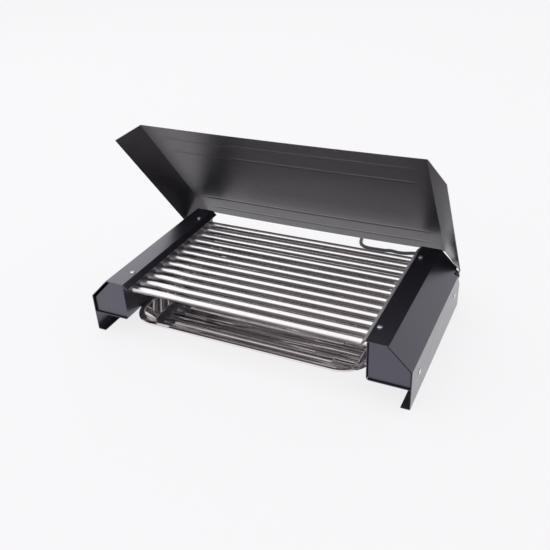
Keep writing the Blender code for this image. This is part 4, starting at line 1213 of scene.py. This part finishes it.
def tube_mesh(name, path, radius, sides=16):
    """A round tube along the path, closed at its ends, with a UV map measured in girths."""
    girth = full_turn * radius
    directions = []
    for i in range(len(path)):
        before = path[max(i - 1, 0)]
        after = path[min(i + 1, len(path) - 1)]
        directions.append((after - before).normalized())
    across = directions[0].orthogonal().normalized()
    mesh = bpy.data.meshes.new(name)
    bm = bmesh.new()
    uv_layer = bm.loops.layers.uv.new("UVMap")
    rings = []
    lengths = [0.0]
    for i, (point, direction) in enumerate(zip(path, directions)):
        across = (across - direction * across.dot(direction)).normalized()
        up = direction.cross(across)
        ring = []
        for k in range(sides):
            angle = full_turn * k / sides
            spoke = across * cos(angle) + up * sin(angle)
            ring.append(bm.verts.new(point + radius * spoke))
        rings.append(ring)
        if i:
            lengths.append(lengths[-1] + (point - path[i - 1]).length)
    for i in range(len(rings) - 1):
        for k in range(sides):
            j = (k + 1) % sides
            face = bm.faces.new((rings[i][k], rings[i][j], rings[i + 1][j], rings[i + 1][k]))
            spots = ((i, k), (i, k + 1), (i + 1, k + 1), (i + 1, k))
            for loop, (row, column) in zip(face.loops, spots):
                loop[uv_layer].uv = (lengths[row] / girth, column / sides)
            face.smooth = True
    bm.faces.new(list(reversed(rings[0])))
    bm.faces.new(rings[-1])
    bmesh.ops.recalc_face_normals(bm, faces=bm.faces)
    bm.to_mesh(mesh)
    bm.free()
    return mesh


def grooves(count, first, pitch, shape, depth, radius_at):
    """Points of equal grooves; shape is pairs of an offset and a share of the depth."""
    points = []
    for i in range(count):
        for offset, share in shape:
            along = first - i * pitch - offset
            points.append((radius_at(along) - depth * share, along))
    return points


def make_relief():
    """The moulded sleeve with its grooves and flange, and the nut inside the cap."""
    face = rear_cap_high.y
    tip = relief_high.y
    base = face + relief_taper_end
    taper = tip - base
    profile = [(0, tip), (relief_tip_radius - relief_edge, tip)]
    profile.append((relief_tip_radius, tip - relief_edge))
    pitch = taper / (relief_grooves + 1)

    def taper_radius(along):
        return relief_tip_radius + relief_growth * (tip - along) / taper

    cuts = (relief_groove_shape, relief_groove_depth, taper_radius)
    profile += grooves(relief_grooves, tip - pitch, pitch, *cuts)
    seat = face + touch_gap
    flange = relief_flange_radius
    profile += [(relief_tip_radius + relief_growth, base), (flange - relief_edge, base)]
    profile += [(flange, base - relief_flange_edge), (flange, seat)]
    inner = face - cap_sheet - touch_gap
    nut_end = inner - relief_nut_length
    profile += [(relief_neck_radius, seat), (relief_neck_radius, inner)]
    profile += [(relief_nut_radius, inner), (relief_nut_radius, nut_end)]
    profile += [(relief_inner_radius, nut_end), (relief_inner_radius, relief_low.y)]
    profile.append((0, relief_low.y))
    place = Matrix.Translation((cord_route[0][0], 0, cord_route[0][2])) @ axis_turns["y"]
    mesh = lathe("relief", profile, relief_sides, place)
    return add_piece("strain_relief_sleeve", mesh, "black_rubber", "strain_relief")


def plug_profile(radius, length):
    """From the face to the neck's mouth, with grooves on the body and on the neck."""
    profile = [(0, length)]
    profile += arc_points((radius - plug_edge, length - plug_edge), plug_edge, quarter_turn, 0, 6)
    cuts = (grip_shape, grip_depth, lambda along: radius)
    profile += grooves(grip_grooves, length - grip_first, grip_pitch, *cuts)
    corner = (radius - plug_edge, plug_neck_length + plug_edge)
    profile += arc_points(corner, plug_edge, 0, -quarter_turn, 6)
    profile.append((plug_neck_radius, plug_neck_length))

    def neck_radius(along):
        return plug_neck_radius - plug_neck_taper * (1 - along / plug_neck_length)

    start = plug_neck_length - neck_groove_first
    cuts = (neck_groove_shape, neck_groove_depth, neck_radius)
    profile += grooves(neck_grooves, start, neck_groove_pitch, *cuts)
    profile += [(plug_mouth_radius, relief_edge), (plug_mouth_radius - relief_edge, 0), (0, 0)]
    return profile


def make_plug():
    """A plain round two pin plug."""
    facing = Matrix.Rotation(-quarter_turn, 4, "Y")
    middle = middle_of("power_plug")
    profile = plug_profile((plug_high.z - plug_low.z) / 2, plug_high.x - plug_low.x)
    turn = Matrix.Translation((plug_high.x, middle.y, middle.z)) @ facing
    mesh = lathe("plug", profile, plug_sides, turn)
    made = [add_piece("plug_body", mesh, "black_rubber", "power_plug")]
    for number in (1, 2):
        name = f"plug_pin_{number}"
        low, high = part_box(name)
        radius = (high.z - low.z) / 2
        reach = high.x - low.x
        pin = [(0, reach), (radius - prong_edge, reach)]
        corner = (radius - prong_edge, reach - prong_edge)
        pin += arc_points(corner, prong_edge, quarter_turn, 0, 5)[1:]
        pin += [(radius, 0), (0, 0)]
        place = Matrix.Translation((high.x, (low.y + high.y) / 2, (low.z + high.z) / 2))
        mesh = lathe(f"pin_{number}", pin, prong_sides, place @ facing)
        made.append(add_piece(f"{name}_bright", mesh, "fastener_zinc", name))
    return made


def make_lead():
    path = lead_path()
    mesh = tube_mesh("mains_lead", path, cord_radius)
    lead = add_piece("mains_lead", mesh, "lead_sleeve", "power_cord", "cord_coil")
    carried = [make_relief(), *make_plug()]


make_lead()
make_covers()
make_channels()
make_caps()
make_rods()
make_screws()
make_tray()
make_rails()
make_lid()
make_rivets()


def make_floor():
    """A white floor that keeps a faint shadow."""
    mesh = bpy.data.meshes.new("floor")
    bm = bmesh.new()
    bmesh.ops.create_circle(bm, cap_ends=True, segments=64, radius=floor_radius)
    bm.to_mesh(mesh)
    bm.free()
    floor = place_object("floor", mesh, scene.collection)
    floor.location.z = -floor_drop
    finish = Finish("floor_paper")
    tone = finish.mix(finish.noise(1.5, 2.0), (0.80, 0.79, 0.82), (0.83, 0.82, 0.85))
    finish.set(Base_Color=tone, Roughness=0.85, Specular_IOR_Level=0.2)
    from_camera, in_mirror = finish.rays()
    seen = finish.math("MULTIPLY", from_camera, floor_seen_share)
    mirrored_part = finish.math("MULTIPLY", in_mirror, floor_mirrored_share)
    share = finish.math("MAXIMUM", seen, mirrored_part)
    white = finish.node("Emission", {"Color": (1.0, 0.99, 1.0)})["Emission"]
    blend = finish.node("MixShader", {"Fac": share, 1: finish.shader.outputs["BSDF"], 2: white})
    finish.links.new(blend["Shader"], finish.nodes["Material Output"].inputs["Surface"])
    mesh.materials.append(finish.material)


def make_sky():
    """White to the camera, and darker overhead and in one corner in reflections."""
    world = bpy.data.worlds.new("studio")
    scene.world = world
    world.use_nodes = True
    sky = Graph(world.node_tree)
    background = sky.nodes["Background"]
    background.inputs["Color"].default_value = (0.975, 0.97, 0.99, 1)
    way = sky.coordinates.outputs["Generated"]
    from_camera, in_mirror = sky.rays()
    fade = sky.spread(sky.axis(way, "Z"), 0.55, 1.0, 1.0, sky_zenith, smooth=True)
    dim = sky.spread(sky.dot(way, sky_corner_way), 0.75, 1.0, 1.0, sky_corner, smooth=True)
    shown = sky.spread(in_mirror, 0.0, 1.0, 1.0, sky.math("MULTIPLY", dim, fade))
    seen = sky.math("MAXIMUM", from_camera, in_mirror)
    sky.feed(background.inputs["Strength"], sky.spread(seen, 0.0, 1.0, sky_light, shown))


def make_lamp():
    """One large soft lamp overhead."""
    lamp = bpy.data.lights.new("softbox", "AREA")
    lamp.shape = "RECTANGLE"
    lamp.size, lamp.size_y = lamp_size
    lamp.energy = lamp_power
    lamp.color = (1.0, 0.985, 0.985)
    obj = place_object("softbox", lamp, scene.collection)
    obj.location = lamp_place
    obj.rotation_euler = (lamp_aim - lamp_place).to_track_quat("-Z", "Y").to_euler()


make_floor()
make_sky()
make_lamp()
scene.view_settings.view_transform = "Standard"
